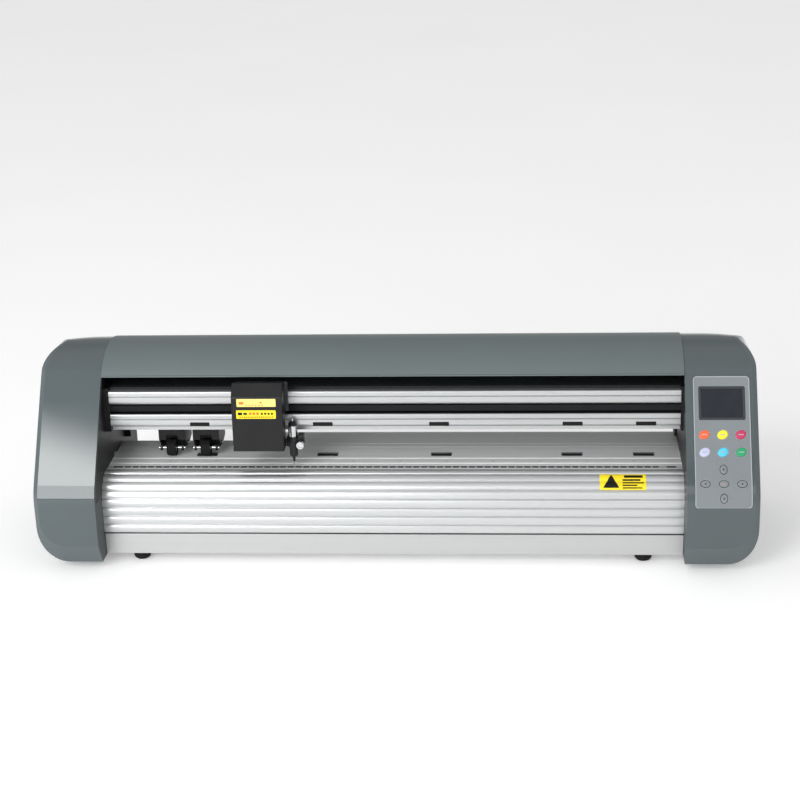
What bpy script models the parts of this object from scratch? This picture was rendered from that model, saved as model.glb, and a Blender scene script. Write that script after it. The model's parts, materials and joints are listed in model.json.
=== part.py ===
"""Desktop vinyl cutter, built as separate pieces that fit and move together.

Frame: +X to the operator's right, -Y towards the operator, +Z up.
The origin lies on the table, under the middle of the machine.
Lengths are in millimetres and MM turns them into metres.
"""
import math

import bmesh
import bpy
from mathutils import Matrix, Vector

MM = 0.001
GAP = 0.3                      # clearance between pieces that touch

# Overall size and the opening between the two side covers
LEFT_END, RIGHT_END = -450.0, 450.0
OPEN_LEFT, OPEN_RIGHT = -370.0, 360.0
BACK_Y = 126.0
COVER_LOW = 10.0
COVER_WALL = 4.0
CORNER_TOP = 22.0              # outer top corner radius, seen from the front
CORNER_LOW = (36.0, 52.0)      # outer bottom corner, half axes along X and Z

# The covers' front face: straight from the eave down, then bent to vertical
EAVE_Y, EAVE_Z = -40.8, 231.5
FACE_LEAN = math.radians(34.5)
FACE_STRAIGHT = 138.3
BEND_RADIUS = 45.0
LIP_Z, LIP_Y = 38.0, -112.0    # where the undercut lip starts, and its lower edge
RIDGE_Y, RIDGE_Z = 25.0, 260.0
BACK_TOP_Z = 176.0
HOOD_PROUD = 1.0
HOOD_THICK = 1.6

# Guide beam with an upper rail, a belt channel and a lower rail
BEAM_LEFT, BEAM_RIGHT = -362.5, 356.5
RAIL_FRONT, RAIL_BACK = -40.0, -31.0
UPPER_RAIL = (194.5, 212.5)
LOWER_RAIL = (164.5, 182.0)
BEAM_LOW, BEAM_HIGH, BEAM_REAR = 158.0, 216.0, 10.0
CHANNEL_REAR = -10.0

# Platen, apron and base
PLATEN_TOP = 113.0
PLATEN_THICK = 2.6
PLATEN_REAR = 46.0
REAR_APRON_LEFT = -180.0       # it stops short of the left end, where light comes through
APRON_START_Y = -56.0
APRON_RADIUS = 34.0
APRON_FOOT_Z = 39.6
APRON_RIDGES = 8
STRIP_Y, STRIP_WIDTH = -47.0, 6.0
BASE_FRONT, BASE_REAR = -90.0, 106.0
FOOT_HEIGHT = 12.0
FOOT_X = (-327.0, 311.0)
FOOT_Y = (-75.0, 84.0)

# Feed shaft with its grit rollers
SHAFT_Y, SHAFT_Z = -3.0, 105.8
GRIT_RADIUS, GRIT_WIDTH = 7.5, 25.0
GRIT_X = (-248.0, -91.0, 56.0, 223.0, 314.0)
SLOT_LENGTH, SLOT_WIDTH = 27.0, 13.0
FEED_MOTOR_Y, FEED_MOTOR_Z = 46.0, 62.0
FEED_PULLEY_X = (-388.0, -379.0)

# Carriage, belt drive and tool
BELT_Z = (184.0, 192.5)
BELT_Y = -26.0                 # middle of the belt loop
PULLEY_RADIUS = 8.0
BELT_THICK = 1.2
MOTOR_PULLEY_X, IDLER_PULLEY_X = 392.0, -396.0
COVER_X = (-200.5, -136.5)
COVER_LOW_EDGE, COVER_REAR_TOP = 145.2, 226.5
COVER_FRONT = -75.0
COVER_SHOULDER = (-72.5, 215.5)   # Y and Z where the cover's front turns into its sloped lid
COVER_CREST = (-60.0, 231.0)      # Y and Z of the lid's upper edge
PLATE_Y = (-44.0, -41.0)
WHEEL_RADIUS = 6.0
WHEEL_X = -168.5
TOOL_X, TOOL_Y = -128.5, -47.0
CLAMP_Z = (143.0, 154.5)
TONGUE_X = (-151.0, -142.0)    # guides of the clamp's sliding tongue

# Pinch roller units
PINCH_X = (-293.0, -248.5)
PINCH_HALF = 17.3              # from a bracket's middle to the outside of its ears
PINCH_FRONT, PINCH_REAR = -4.0, 40.0
PINCH_PIVOT = (12.0, 124.8)    # Y and Z of the arm's pin
PINCH_RADIUS, PINCH_WIDTH = 10.5, 12.0
PINCH_AXLE_Y = -6.0
PINCH_PIN_RADIUS = 1.8
EAR_THICK = 2.0
FORK_REACH, FORK_THICK = 15.0, 2.5
AXLE_HALF, AXLE_RADIUS = 17.2, 1.6
LEVER_PIVOT = (31.0, 150.0)

# Control panel, laid out in (X, distance down the face)
PANEL_X = (369.5, 438.3)
PANEL_S = (2.5, 164.0)
PANEL_THICK = 2.0
PANEL_PROUD = 0.4
WINDOW_X, WINDOW_S = (376.0, 432.4), (13.5, 56.0)
KEY_COLUMNS = (382.0, 404.0, 426.0)
KEY_ROWS = (74.6, 96.5)
ARROW_S = (118.0, 135.9, 153.6)
KEY_RADII = (6.6, 5.4)
ARROW_RADII = (6.2, 4.6)
KEY_TURN = math.radians(30.0)
ROCKER_SWING = 16.0            # degrees between the power switch's two positions

COLOURS = {
    "shell_grey": ((0.115, 0.145, 0.150), 0.25, 0.0),
    "hood_grey": ((0.130, 0.160, 0.160), 0.45, 0.0),
    "black_steel": ((0.012, 0.012, 0.014), 0.45, 0.3),
    "aluminium": ((0.75, 0.76, 0.77), 0.35, 0.9),
    "steel": ((0.62, 0.63, 0.65), 0.25, 1.0),
    "black_plastic": ((0.014, 0.014, 0.016), 0.40, 0.0),
    "rubber": ((0.010, 0.010, 0.010), 0.85, 0.0),
    "belt": ((0.016, 0.016, 0.018), 0.80, 0.0),
    "panel_grey": ((0.26, 0.29, 0.31), 0.45, 0.0),
    "glass": ((0.010, 0.014, 0.020), 0.08, 0.0),
    "board_green": ((0.02, 0.16, 0.06), 0.50, 0.0),
    "zinc": ((0.55, 0.56, 0.58), 0.40, 0.9),
    "key_red": ((0.80, 0.10, 0.03), 0.35, 0.0),
    "key_yellow": ((0.90, 0.75, 0.02), 0.35, 0.0),
    "key_crimson": ((0.50, 0.03, 0.10), 0.35, 0.0),
    "key_lavender": ((0.50, 0.52, 0.75), 0.35, 0.0),
    "key_cyan": ((0.10, 0.55, 0.75), 0.35, 0.0),
    "key_green": ((0.02, 0.30, 0.12), 0.35, 0.0),
    "key_grey": ((0.20, 0.22, 0.23), 0.35, 0.0),
}


# ---------------------------------------------------------------- scene helpers
def clear_scene():
    for obj in list(bpy.data.objects):
        bpy.data.objects.remove(obj, do_unlink=True)


def new_collection(name):
    collection = bpy.data.collections.new(name)
    bpy.context.scene.collection.children.link(collection)
    return collection


def material(name):
    found = bpy.data.materials.get(name)
    if found:
        return found
    colour, roughness, metallic = COLOURS[name]
    made = bpy.data.materials.new(name)
    made.use_nodes = True
    shader = made.node_tree.nodes["Principled BSDF"]
    shader.inputs["Base Color"].default_value = (*colour, 1.0)
    shader.inputs["Roughness"].default_value = roughness
    shader.inputs["Metallic"].default_value = metallic
    return made


def new_object(mesh, name="shape"):
    obj = bpy.data.objects.new(name, mesh)
    bpy.context.scene.collection.objects.link(obj)
    return obj


def evaluated(obj):
    """Swap an object's mesh for what its modifiers make of it."""
    bpy.context.view_layer.update()
    graph = bpy.context.evaluated_depsgraph_get()
    mesh = bpy.data.meshes.new_from_object(obj.evaluated_get(graph))
    obj.modifiers.clear()
    obj.data = mesh
    return obj


def combine(obj, other, operation):
    """Join another shape to this one, or cut it away, and drop the other."""
    modifier = obj.modifiers.new(operation.lower(), "BOOLEAN")
    modifier.operation = operation
    modifier.object = other
    modifier.solver = "EXACT"
    evaluated(obj)
    bpy.data.objects.remove(other, do_unlink=True)
    return obj


def cut(obj, *others):
    for other in others:
        combine(obj, other, "DIFFERENCE")
    return obj


def join(obj, *others):
    for other in others:
        combine(obj, other, "UNION")
    return obj


def finish(obj, name, material_name, joint=(0.0, 0.0, 0.0), rotation=None, parent=None):
    """Name a piece, give it its material and put its origin on its joint."""
    place = Matrix.Translation(Vector(joint) * MM)
    if rotation:
        place = place @ rotation.to_4x4()
    obj.data.transform(place.inverted() @ obj.matrix_world)
    obj.matrix_world = place
    if parent:
        obj.parent = parent
        obj.matrix_parent_inverse = Matrix.Translation(-Vector(parent.location))
    obj.name = name
    obj.data.name = name
    obj.data.materials.clear()
    obj.data.materials.append(material(material_name))
    obj.data.shade_smooth()
    obj.data.set_sharp_from_angle(angle=math.radians(35.0))
    bpy.context.scene.collection.objects.unlink(obj)
    PARTS.objects.link(obj)
    return obj


def joint_empty(name, location):
    empty = bpy.data.objects.new(name, None)
    empty.location = Vector(location) * MM
    empty.empty_display_size = 10 * MM
    PARTS.objects.link(empty)
    return empty


# ---------------------------------------------------------------- shape helpers
def box(x, y, z):
    """A block between two limits on each axis."""
    mesh = bpy.data.meshes.new("block")
    bm = bmesh.new()
    bmesh.ops.create_cube(bm, size=1.0)
    size = [span[1] - span[0] for span in (x, y, z)]
    centre = [(span[1] + span[0]) / 2 for span in (x, y, z)]
    bmesh.ops.scale(bm, vec=Vector(size) * MM, verts=bm.verts)
    bmesh.ops.translate(bm, vec=Vector(centre) * MM, verts=bm.verts)
    bm.to_mesh(mesh)
    bm.free()
    return new_object(mesh)


AXES = {
    "X": Matrix(((0, 0, 1), (1, 0, 0), (0, 1, 0))),
    "Y": Matrix(((1, 0, 0), (0, 0, -1), (0, 1, 0))),
    "Z": Matrix.Identity(3),
}


def cylinder(axis, centre, radius, limits, segments=24):
    """A round bar along an axis. centre is on the other two axes, in order."""
    mesh = bpy.data.meshes.new("bar")
    bm = bmesh.new()
    bmesh.ops.create_cone(bm, cap_ends=True, segments=segments, radius1=radius * MM,
                          radius2=radius * MM, depth=(limits[1] - limits[0]) * MM)
    turn = {"X": Matrix.Rotation(math.pi / 2, 3, "Y"),
            "Y": Matrix.Rotation(-math.pi / 2, 3, "X"),
            "Z": Matrix.Identity(3)}[axis]
    bmesh.ops.transform(bm, matrix=turn.to_4x4(), verts=bm.verts)
    place = list(centre)
    place.insert("XYZ".index(axis), (limits[0] + limits[1]) / 2)
    bmesh.ops.translate(bm, vec=Vector(place) * MM, verts=bm.verts)
    bm.to_mesh(mesh)
    bm.free()
    return new_object(mesh)


def prism(axis, outline, limits):
    """A flat outline carried along an axis.

    The outline is in (Y, Z) for X, in (X, Z) for Y and in (X, Y) for Z.
    """
    curve = bpy.data.curves.new("outline", "CURVE")
    curve.dimensions = "2D"
    curve.fill_mode = "BOTH"
    curve.extrude = (limits[1] - limits[0]) / 2 * MM
    spline = curve.splines.new("POLY")
    spline.points.add(len(outline) - 1)
    for point, (a, b) in zip(spline.points, outline):
        point.co = (a * MM, b * MM, 0.0, 1.0)
    spline.use_cyclic_u = True
    drawn = new_object(curve)
    bpy.context.view_layer.update()
    graph = bpy.context.evaluated_depsgraph_get()
    mesh = bpy.data.meshes.new_from_object(drawn.evaluated_get(graph))
    bpy.data.objects.remove(drawn, do_unlink=True)
    bm = bmesh.new()
    bm.from_mesh(mesh)
    bmesh.ops.remove_doubles(bm, verts=bm.verts, dist=0.001 * MM)
    bmesh.ops.dissolve_limit(bm, angle_limit=math.radians(0.5), verts=bm.verts, edges=bm.edges)
    middle = (limits[0] + limits[1]) / 2 * MM
    shift = {"X": (middle, 0, 0), "Y": (0, middle, 0), "Z": (0, 0, middle)}[axis]
    bmesh.ops.transform(bm, matrix=AXES[axis].to_4x4(), verts=bm.verts)
    bmesh.ops.translate(bm, vec=shift, verts=bm.verts)
    bmesh.ops.recalc_face_normals(bm, faces=bm.faces)
    bm.to_mesh(mesh)
    bm.free()
    return new_object(mesh)


def turned(axis, centre, profile, steps=24):
    """A turned piece. The profile is (radius, distance along the axis), closed."""
    mesh = bpy.data.meshes.new("turned")
    closed = profile[0][0] > 0
    count = len(profile)
    edges = [(i, i + 1) for i in range(count - 1)]
    if closed:
        edges.append((count - 1, 0))
    mesh.from_pydata([(r * MM, 0.0, h * MM) for r, h in profile], edges, [])
    obj = new_object(mesh)
    screw = obj.modifiers.new("turn", "SCREW")
    screw.steps = steps
    screw.render_steps = steps
    screw.use_merge_vertices = True
    screw.merge_threshold = 0.00001
    evaluated(obj)
    turn = {"X": Matrix.Rotation(math.pi / 2, 4, "Y"),
            "Y": Matrix.Rotation(-math.pi / 2, 4, "X"),
            "Z": Matrix.Identity(4)}[axis]
    place = list(centre)
    place.insert("XYZ".index(axis), 0.0)
    obj.data.transform(Matrix.Translation(Vector(place) * MM) @ turn)
    bm = bmesh.new()
    bm.from_mesh(obj.data)
    bmesh.ops.recalc_face_normals(bm, faces=bm.faces)
    bm.to_mesh(obj.data)
    bm.free()
    return obj


def arc(centre, radii, start, end, count):
    """Points on an arc, with angles in degrees."""
    points = []
    for i in range(count + 1):
        angle = math.radians(start + (end - start) * i / count)
        points.append((centre[0] + radii[0] * math.cos(angle),
                       centre[1] + radii[1] * math.sin(angle)))
    return points


def bezier(p0, p1, p2, p3, count):
    points = []
    for i in range(count + 1):
        t = i / count
        weights = ((1 - t) ** 3, 3 * t * (1 - t) ** 2, 3 * t * t * (1 - t), t ** 3)
        points.append(tuple(sum(w * p[k] for w, p in zip(weights, (p0, p1, p2, p3)))
                            for k in (0, 1)))
    return points


def offset(points, distance, closed=True):
    """Move an outline sideways, to the right of its direction, by a distance."""
    moved = []
    count = len(points)
    for i, here in enumerate(points):
        normals = []
        for a, b in ((i - 1, i), (i, i + 1)):
            if not closed and (a < 0 or b > count - 1):
                continue
            start, end = Vector(points[a % count]), Vector(points[b % count])
            step = (end - start).normalized()
            normals.append(Vector((step.y, -step.x)))
        mean = sum(normals, Vector((0, 0))).normalized()
        moved.append(tuple(Vector(here) + mean * distance / max(mean.dot(normals[0]), 0.3)))
    return moved


def rounded_rectangle(x, y, radius, count=4):
    points = []
    for cx, cy, start in ((x[1] - radius, y[0] + radius, -90), (x[1] - radius, y[1] - radius, 0),
                          (x[0] + radius, y[1] - radius, 90), (x[0] + radius, y[0] + radius, 180)):
        points += arc((cx, cy), (radius, radius), start, start + 90, count)
    return points


def ellipse(centre, radii, turn=0.0, count=16):
    points = []
    for i in range(count):
        angle = 2 * math.pi * i / count
        u, v = radii[0] * math.cos(angle), radii[1] * math.sin(angle)
        points.append((centre[0] + u * math.cos(turn) - v * math.sin(turn),
                       centre[1] + u * math.sin(turn) + v * math.cos(turn)))
    return points


# ---------------------------------------------------------------- the covers' shape
def face(s):
    """The front face at a distance s below the eave: Y, Z and lean from vertical."""
    straight = min(s, FACE_STRAIGHT)
    y = EAVE_Y - straight * math.sin(FACE_LEAN)
    z = EAVE_Z - straight * math.cos(FACE_LEAN)
    lean = FACE_LEAN - min(max(s - FACE_STRAIGHT, 0.0) / BEND_RADIUS, FACE_LEAN)
    y += BEND_RADIUS * (math.cos(FACE_LEAN) - math.cos(lean))
    z += BEND_RADIUS * (math.sin(lean) - math.sin(FACE_LEAN))
    return y, z, lean


def cover_profile():
    """The side covers' outline in (Y, Z), anticlockwise seen from -X."""
    bend_end = FACE_STRAIGHT + BEND_RADIUS * FACE_LEAN
    front_y = face(bend_end)[0]
    points = [(LIP_Y, COVER_LOW), (front_y, LIP_Z)]
    points += [face(bend_end + (FACE_STRAIGHT - bend_end) * i / 4)[:2] for i in range(5)]
    points.append((EAVE_Y, EAVE_Z))
    points += roof_profile()[1:]
    points += [(BACK_Y, 30.0), (BACK_Y - 12.0, COVER_LOW)]
    return points


def roof_profile():
    """From the eave over the ridge to the top of the back."""
    eave, ridge = (EAVE_Y, EAVE_Z), (RIDGE_Y, RIDGE_Z)
    points = bezier(eave, (EAVE_Y + 12.5, EAVE_Z + 18.2), (RIDGE_Y - 25, RIDGE_Z), ridge, 5)
    points += bezier(ridge, (RIDGE_Y + 37, RIDGE_Z), (BACK_Y, 236.0), (BACK_Y, BACK_TOP_Z), 7)[1:]
    return points


def front_outline(end, inner, inset):
    """A cover's outline in (X, Z): square at the opening, rounded at the outer end."""
    side = math.copysign(1.0, end)
    a, b = CORNER_LOW
    low, top = COVER_LOW - 0.5 + inset, RIDGE_Z + 0.5 - inset
    points = [(inner, low)]
    points += arc((end - side * a, low - inset + b), (side * (a - inset), b - inset), -90, 0, 5)
    points += arc((end - side * CORNER_TOP, top + inset - CORNER_TOP),
                  (side * (CORNER_TOP - inset), CORNER_TOP - inset), 0, 90, 5)
    points.append((inner, top))
    return points


def side_solid(end, inner, inset):
    """The space inside a cover's outer surface, moved inwards by inset."""
    limits = sorted((end + math.copysign(1.0, end), inner))
    body = prism("X", offset(cover_profile(), inset), limits)
    shape = prism("Y", front_outline(end, inner, inset), (-200.0, 200.0))
    return combine(body, shape, "INTERSECT")


def plate_outline(inset):
    """The side plates' outline in (Y, Z), inside the covers' profile."""
    step_z, low = 92.0, COVER_LOW + 6.0
    front, chin = BASE_FRONT - 6.0 + inset, BASE_FRONT - 35.0 + inset
    upper = [point for point in offset(cover_profile(), inset) if point[1] > step_z]
    lower = [(front, low), (front, step_z), (chin, step_z)]
    return lower + upper + [(BACK_Y - inset, 30.0), (BACK_Y - 14.0, low)]


def build_cover(name, end, inner):
    side = math.copysign(1.0, end)
    cover = side_solid(end, inner, 0.0)
    hollow = side_solid(end, inner + side * 3.0, COVER_WALL)
    window = prism("X", plate_outline(7.5), sorted((inner - side * 5.0, inner + side * 8.0)))
    cut(cover, hollow, window)
    return cover


def build_left_cover():
    cover = build_cover("left_cover", LEFT_END, OPEN_LEFT)
    finish(cover, "left_cover", "shell_grey")


REAR_HOLES = {"power_inlet": ((391.0, 418.0), (48.0, 68.0)),
              "power_switch": ((394.0, 415.0), (84.0, 99.0)),
              "data_port": ((398.5, 411.5), (114.0, 126.0))}


def build_right_cover():
    cover = build_cover("right_cover", RIGHT_END, OPEN_RIGHT)
    recess = wrapped(flat_plate(PANEL_X, PANEL_S, 5.0, -PANEL_THICK + PANEL_PROUD - GAP, 3.0, GAP))
    opening = flat_plate(WINDOW_X, WINDOW_S, 2.0, -12.0, 1.0, GAP)
    cut(cover, recess, wrapped(opening))
    for x, z in REAR_HOLES.values():
        hole = box((x[0] - GAP, x[1] + GAP), (BACK_Y - 10.0, BACK_Y + 10.0), (z[0] - GAP, z[1] + GAP))
        cut(cover, hole)
    finish(cover, "right_cover", "shell_grey")


def flat_plate(x, s, radius, low, high, grow=0.0):
    """A rounded plate in face coordinates: X, minus the distance down, and height."""
    outline = rounded_rectangle((x[0] - grow, x[1] + grow), (-s[1] - grow, -s[0] + grow), radius)
    return prism("Z", outline, (low, high))


def wrapped(obj):
    """Lay a flat shape on the covers' bent front face."""
    bm = bmesh.new()
    bm.from_mesh(obj.data)
    for i in range(5):
        s = FACE_STRAIGHT + BEND_RADIUS * FACE_LEAN * i / 4
        parts = list(bm.verts) + list(bm.edges) + list(bm.faces)
        bmesh.ops.bisect_plane(bm, geom=parts, plane_co=(0, -s * MM, 0), plane_no=(0, 1, 0))
    for vert in bm.verts:
        x, down, height = vert.co.x, -vert.co.y / MM, vert.co.z / MM
        y, z, lean = face(down)
        vert.co = (x, (y - height * math.cos(lean)) * MM, (z + height * math.sin(lean)) * MM)
    bm.to_mesh(obj.data)
    bm.free()
    return obj


def build_hood():
    """Bent sheet over the beam, from the eave over the ridge and down the back."""
    outer = offset(roof_profile(), -HOOD_PROUD, closed=False)
    outer.append((BACK_Y + HOOD_PROUD, 160.0))
    inner = offset(outer, HOOD_THICK, closed=False)
    start_y, start_z = inner[0]
    hem_y, hem_z = EAVE_Y + 14.0, start_z + 1.0
    hem = [(start_y + 2.0, hem_z), (hem_y, hem_z), (hem_y, outer[0][1] + 1.2)]
    sheet = prism("X", outer + inner[:0:-1] + hem, (OPEN_LEFT + GAP, OPEN_RIGHT - GAP))
    finish(sheet, "top_hood", "hood_grey")


def build_side_plates():
    """Steel plates in the covers' open sides, with the beam seats and rear flanges."""
    for name, inner, beam_end in (("left_side_plate", OPEN_LEFT, BEAM_LEFT),
                                  ("right_side_plate", OPEN_RIGHT, BEAM_RIGHT)):
        side = math.copysign(1.0, inner)
        thick = sorted((inner, inner + side * 2.5))
        plate = prism("X", plate_outline(8.0), thick)
        inward = sorted((inner + side * 1.0, beam_end + side * GAP))
        seat = box(inward, (RAIL_FRONT + 2.0, BEAM_REAR), (BEAM_LOW, BEAM_HIGH))
        flange = box(inward, (60.0, 64.0), (PLATEN_TOP + GAP, 228.0))
        join(plate, seat, flange)
        window = box((inner - 20.0, inner + 20.0), (RAIL_BACK - 6.0, CHANNEL_REAR - 3.0),
                     (UPPER_RAIL[0] - 12.0, UPPER_RAIL[0]))
        bore = cylinder("X", (SHAFT_Y, SHAFT_Z), 11.0 + GAP, (inner - 20.0, inner + 20.0))
        cut(plate, window, bore)
        if inner == OPEN_LEFT:
            join(plate, idler_fork())
        finish(plate, name, "black_steel")


# ---------------------------------------------------------------- frame pieces
def apron_profile():
    """Outer line of the platen: flat top, raised ridges, then the ribbed apron."""
    top = PLATEN_TOP
    points = [(PLATEN_REAR, top)]
    for y in (-16.5, -33.5):
        points += [(y + 2.2, top), (y + 1.0, top + 0.7), (y - 1.0, top + 0.7), (y - 2.2, top)]
    half = STRIP_WIDTH / 2
    points += [(STRIP_Y + half, top), (STRIP_Y + half, top - 1.2),
               (STRIP_Y - half, top - 1.2), (STRIP_Y - half, top)]
    bend = APRON_RADIUS * math.pi / 2
    total = bend + (top - APRON_RADIUS - APRON_FOOT_Z)
    pitch = total / APRON_RIDGES
    for rib in range(APRON_RIDGES):
        for t, lift in ((0.0, 0.0), (0.12, 1.0), (0.5, 1.5), (0.88, 1.0)):
            points.append(apron_point((rib + t) * pitch, lift, bend))
    points.append(apron_point(total, 0.0, bend))
    return points


def apron_point(distance, lift, bend):
    turn = min(distance, bend) / APRON_RADIUS
    reach = APRON_RADIUS + lift
    y = APRON_START_Y - reach * math.sin(turn)
    z = PLATEN_TOP - APRON_RADIUS + reach * math.cos(turn)
    return y, z - max(distance - bend, 0.0)


def build_platen():
    """Extruded platen and apron, slotted for the grit rollers."""
    outer = apron_profile()
    inside = PLATEN_THICK + 1.2
    bend = APRON_RADIUS * math.pi / 2
    inner = [(PLATEN_REAR, PLATEN_TOP - PLATEN_THICK), (-40.0, PLATEN_TOP - PLATEN_THICK),
             (-42.0, PLATEN_TOP - inside)]
    inner += [apron_point(bend * i / 5, -inside, bend) for i in range(6)]
    inner.append(apron_point(bend + PLATEN_TOP - APRON_RADIUS - APRON_FOOT_Z, -inside, bend))
    outline = outer + inner[::-1]
    platen = prism("X", outline, (OPEN_LEFT + GAP, OPEN_RIGHT - GAP))
    for x in GRIT_X:
        half = SLOT_LENGTH / 2
        slot = box((x - half, x + half), (SHAFT_Y - SLOT_WIDTH / 2, SHAFT_Y + SLOT_WIDTH / 2),
                   (PLATEN_TOP - 10.0, PLATEN_TOP + 10.0))
        cut(platen, slot)
    finish(platen, "platen", "aluminium")


def build_cutting_strip():
    half = STRIP_WIDTH / 2 - GAP
    z = (PLATEN_TOP - 1.2 + GAP, PLATEN_TOP + 0.1)
    strip = box((OPEN_LEFT + 8.0, OPEN_RIGHT - 8.0), (STRIP_Y - half, STRIP_Y + half), z)
    finish(strip, "cutting_strip", "rubber")


def build_base_tray():
    """Folded tray under the platen. Its front flange is the plate below the apron."""
    t = 2.0
    low, front_top, rear_top = FOOT_HEIGHT, APRON_FOOT_Z - 0.6, 60.0
    outline = [(BASE_FRONT, low), (BASE_REAR, low), (BASE_REAR, rear_top), (BASE_REAR - t, rear_top),
               (BASE_REAR - t, low + t), (BASE_FRONT + t, low + t), (BASE_FRONT + t, front_top),
               (BASE_FRONT, front_top)]
    tray = prism("X", outline, (OPEN_LEFT + GAP, OPEN_RIGHT - GAP))
    finish(tray, "base_tray", "aluminium")


def build_rear_apron():
    """Curved sheet that leads the media onto the platen from behind."""
    top = PLATEN_TOP - 0.4
    outer = [(PLATEN_REAR + 0.8, top), (72.0, top)]
    outer += arc((72.0, top - 30.0), (30.0, 30.0), 90, 0, 6)[1:]
    outer.append((102.0, 62.0))
    inner = offset(outer, 1.5, closed=False)
    sheet = prism("X", outer + inner[::-1], (REAR_APRON_LEFT, OPEN_RIGHT - GAP))
    finish(sheet, "rear_apron", "aluminium")


def rail_outline(low, high):
    """One rail of the beam, with its long groove, from bottom to top."""
    middle = low + (high - low) * 0.60
    return [(RAIL_BACK + 3.0, low), (RAIL_FRONT + 2.5, low), (RAIL_FRONT, low + 3.5),
            (RAIL_FRONT, middle - 0.8), (RAIL_FRONT + 1.2, middle), (RAIL_FRONT, middle + 0.8),
            (RAIL_FRONT, high - 2.0), (RAIL_FRONT + 2.0, high), (RAIL_BACK + 3.0, high)]


def build_beam():
    """Extruded guide beam, hollow, with the belt channel between its rails."""
    front = [(RAIL_BACK, BEAM_LOW)] + [(RAIL_BACK, LOWER_RAIL[0])] + rail_outline(*LOWER_RAIL)[1:-1]
    front += [(RAIL_BACK, LOWER_RAIL[1]), (CHANNEL_REAR, LOWER_RAIL[1]), (CHANNEL_REAR, UPPER_RAIL[0]),
              (RAIL_BACK, UPPER_RAIL[0])]
    front += rail_outline(*UPPER_RAIL)[1:-1] + [(RAIL_BACK, UPPER_RAIL[1]), (RAIL_BACK, BEAM_HIGH)]
    rear = [(BEAM_REAR, BEAM_HIGH), (BEAM_REAR, BEAM_LOW)]
    beam = prism("X", front + rear, (BEAM_LEFT, BEAM_RIGHT))
    wide = (BEAM_LEFT - 5.0, BEAM_RIGHT + 5.0)
    cores = ((RAIL_BACK + 3.0, BEAM_REAR - 3.0, BEAM_LOW + 3.0, LOWER_RAIL[1] - 3.0),
             (RAIL_BACK + 3.0, BEAM_REAR - 3.0, UPPER_RAIL[0] + 3.0, BEAM_HIGH - 3.0))
    for y0, y1, z0, z1 in cores:
        cut(beam, box(wide, (y0, y1), (z0, z1)))
    finish(beam, "guide_beam", "aluminium")


def build_feet():
    names = ("front_left", "front_right", "rear_left", "rear_right")
    places = [(x, y) for y in FOOT_Y for x in FOOT_X]
    for name, place in zip(names, places):
        top = FOOT_HEIGHT - GAP
        profile = [(0.0, top), (11.0, top), (11.0, 6.0), (9.0, 2.0), (6.5, 0.0), (0.0, 0.0)]
        foot = turned("Z", place, profile, 16)
        finish(foot, "foot_" + name, "rubber")


# ---------------------------------------------------------------- feed drive
def belt_loop(axis, first, second, radius, thick, limits, count=8):
    """A belt round two pulleys: outer loop less inner loop."""
    shapes = []
    for r, spare in ((radius + thick, 0.0), (radius, 1.0)):
        a, b = Vector(first), Vector(second)
        heading = math.degrees(math.atan2(b.y - a.y, b.x - a.x))
        points = arc(b, (r, r), heading - 90, heading + 90, count)
        points += arc(a, (r, r), heading + 90, heading + 270, count)
        shapes.append(prism(axis, points, (limits[0] - spare, limits[1] + spare)))
    return cut(shapes[0], shapes[1])


def pulley_profile(low, high, bore, belt_radius):
    """A flanged belt pulley as a closed ring profile (radius, height)."""
    rim = belt_radius + 2.2
    return [(bore, high), (rim, high), (rim, high - 1.0), (belt_radius - GAP, high - 1.0),
            (belt_radius - GAP, low + 1.0), (rim, low + 1.0), (rim, low), (bore, low)]


def build_feed_drive():
    shaft_line = (SHAFT_Y, SHAFT_Z)
    shaft = cylinder("X", shaft_line, 4.0, (FEED_PULLEY_X[0] - 3.0, OPEN_RIGHT + 12.0), 16)
    for x in GRIT_X:
        half = GRIT_WIDTH / 2
        join(shaft, cylinder("X", shaft_line, GRIT_RADIUS, (x - half, x + half), 20))
    origin = (0.0, SHAFT_Y, SHAFT_Z)
    turn = joint_empty("feed_shaft_axis", origin)
    finish(shaft, "grit_shaft", "steel", origin, parent=turn)
    low, high = FEED_PULLEY_X
    pulley = turned("X", shaft_line, pulley_profile(low, high, 4.0 + GAP, 14.0))
    finish(pulley, "feed_shaft_pulley", "aluminium", origin, parent=turn)
    motor_line = (FEED_MOTOR_Y, FEED_MOTOR_Z)
    motor_origin = (0.0, FEED_MOTOR_Y, FEED_MOTOR_Z)
    pulley = turned("X", motor_line, pulley_profile(low, high, 2.5 + GAP, 7.0), 20)
    finish(pulley, "feed_motor_pulley", "aluminium", motor_origin)
    build_feed_belt(low, high)
    build_feed_motor()
    for name, x in (("left_shaft_bearing", (OPEN_LEFT - 5.0, OPEN_LEFT)),
                    ("right_shaft_bearing", (OPEN_RIGHT, OPEN_RIGHT + 5.0))):
        ring = [(4.0 + GAP, x[1]), (11.0, x[1]), (11.0, x[0]), (4.0 + GAP, x[0])]
        finish(turned("X", shaft_line, ring), name, "steel")


def build_feed_belt(low, high):
    """Tapered loop: a large pulley on the shaft and a small one on the motor."""
    a, b = Vector((SHAFT_Y, SHAFT_Z)), Vector((FEED_MOTOR_Y, FEED_MOTOR_Z))
    heading = math.degrees(math.atan2(b.y - a.y, b.x - a.x))
    spread = math.degrees(math.asin((14.0 - 7.0) / (b - a).length))
    shapes = []
    for grow, spare in ((BELT_THICK, 0.0), (0.0, 1.0)):
        small, large = 7.0 + grow, 14.0 + grow
        points = arc(b, (small, small), heading - 90 + spread, heading + 90 - spread, 8)
        points += arc(a, (large, large), heading + 90 - spread, heading + 270 + spread, 12)
        shapes.append(prism("X", points, (low + 1.6 - spare, high - 1.6 + spare)))
    finish(cut(*shapes), "feed_belt", "belt")


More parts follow.
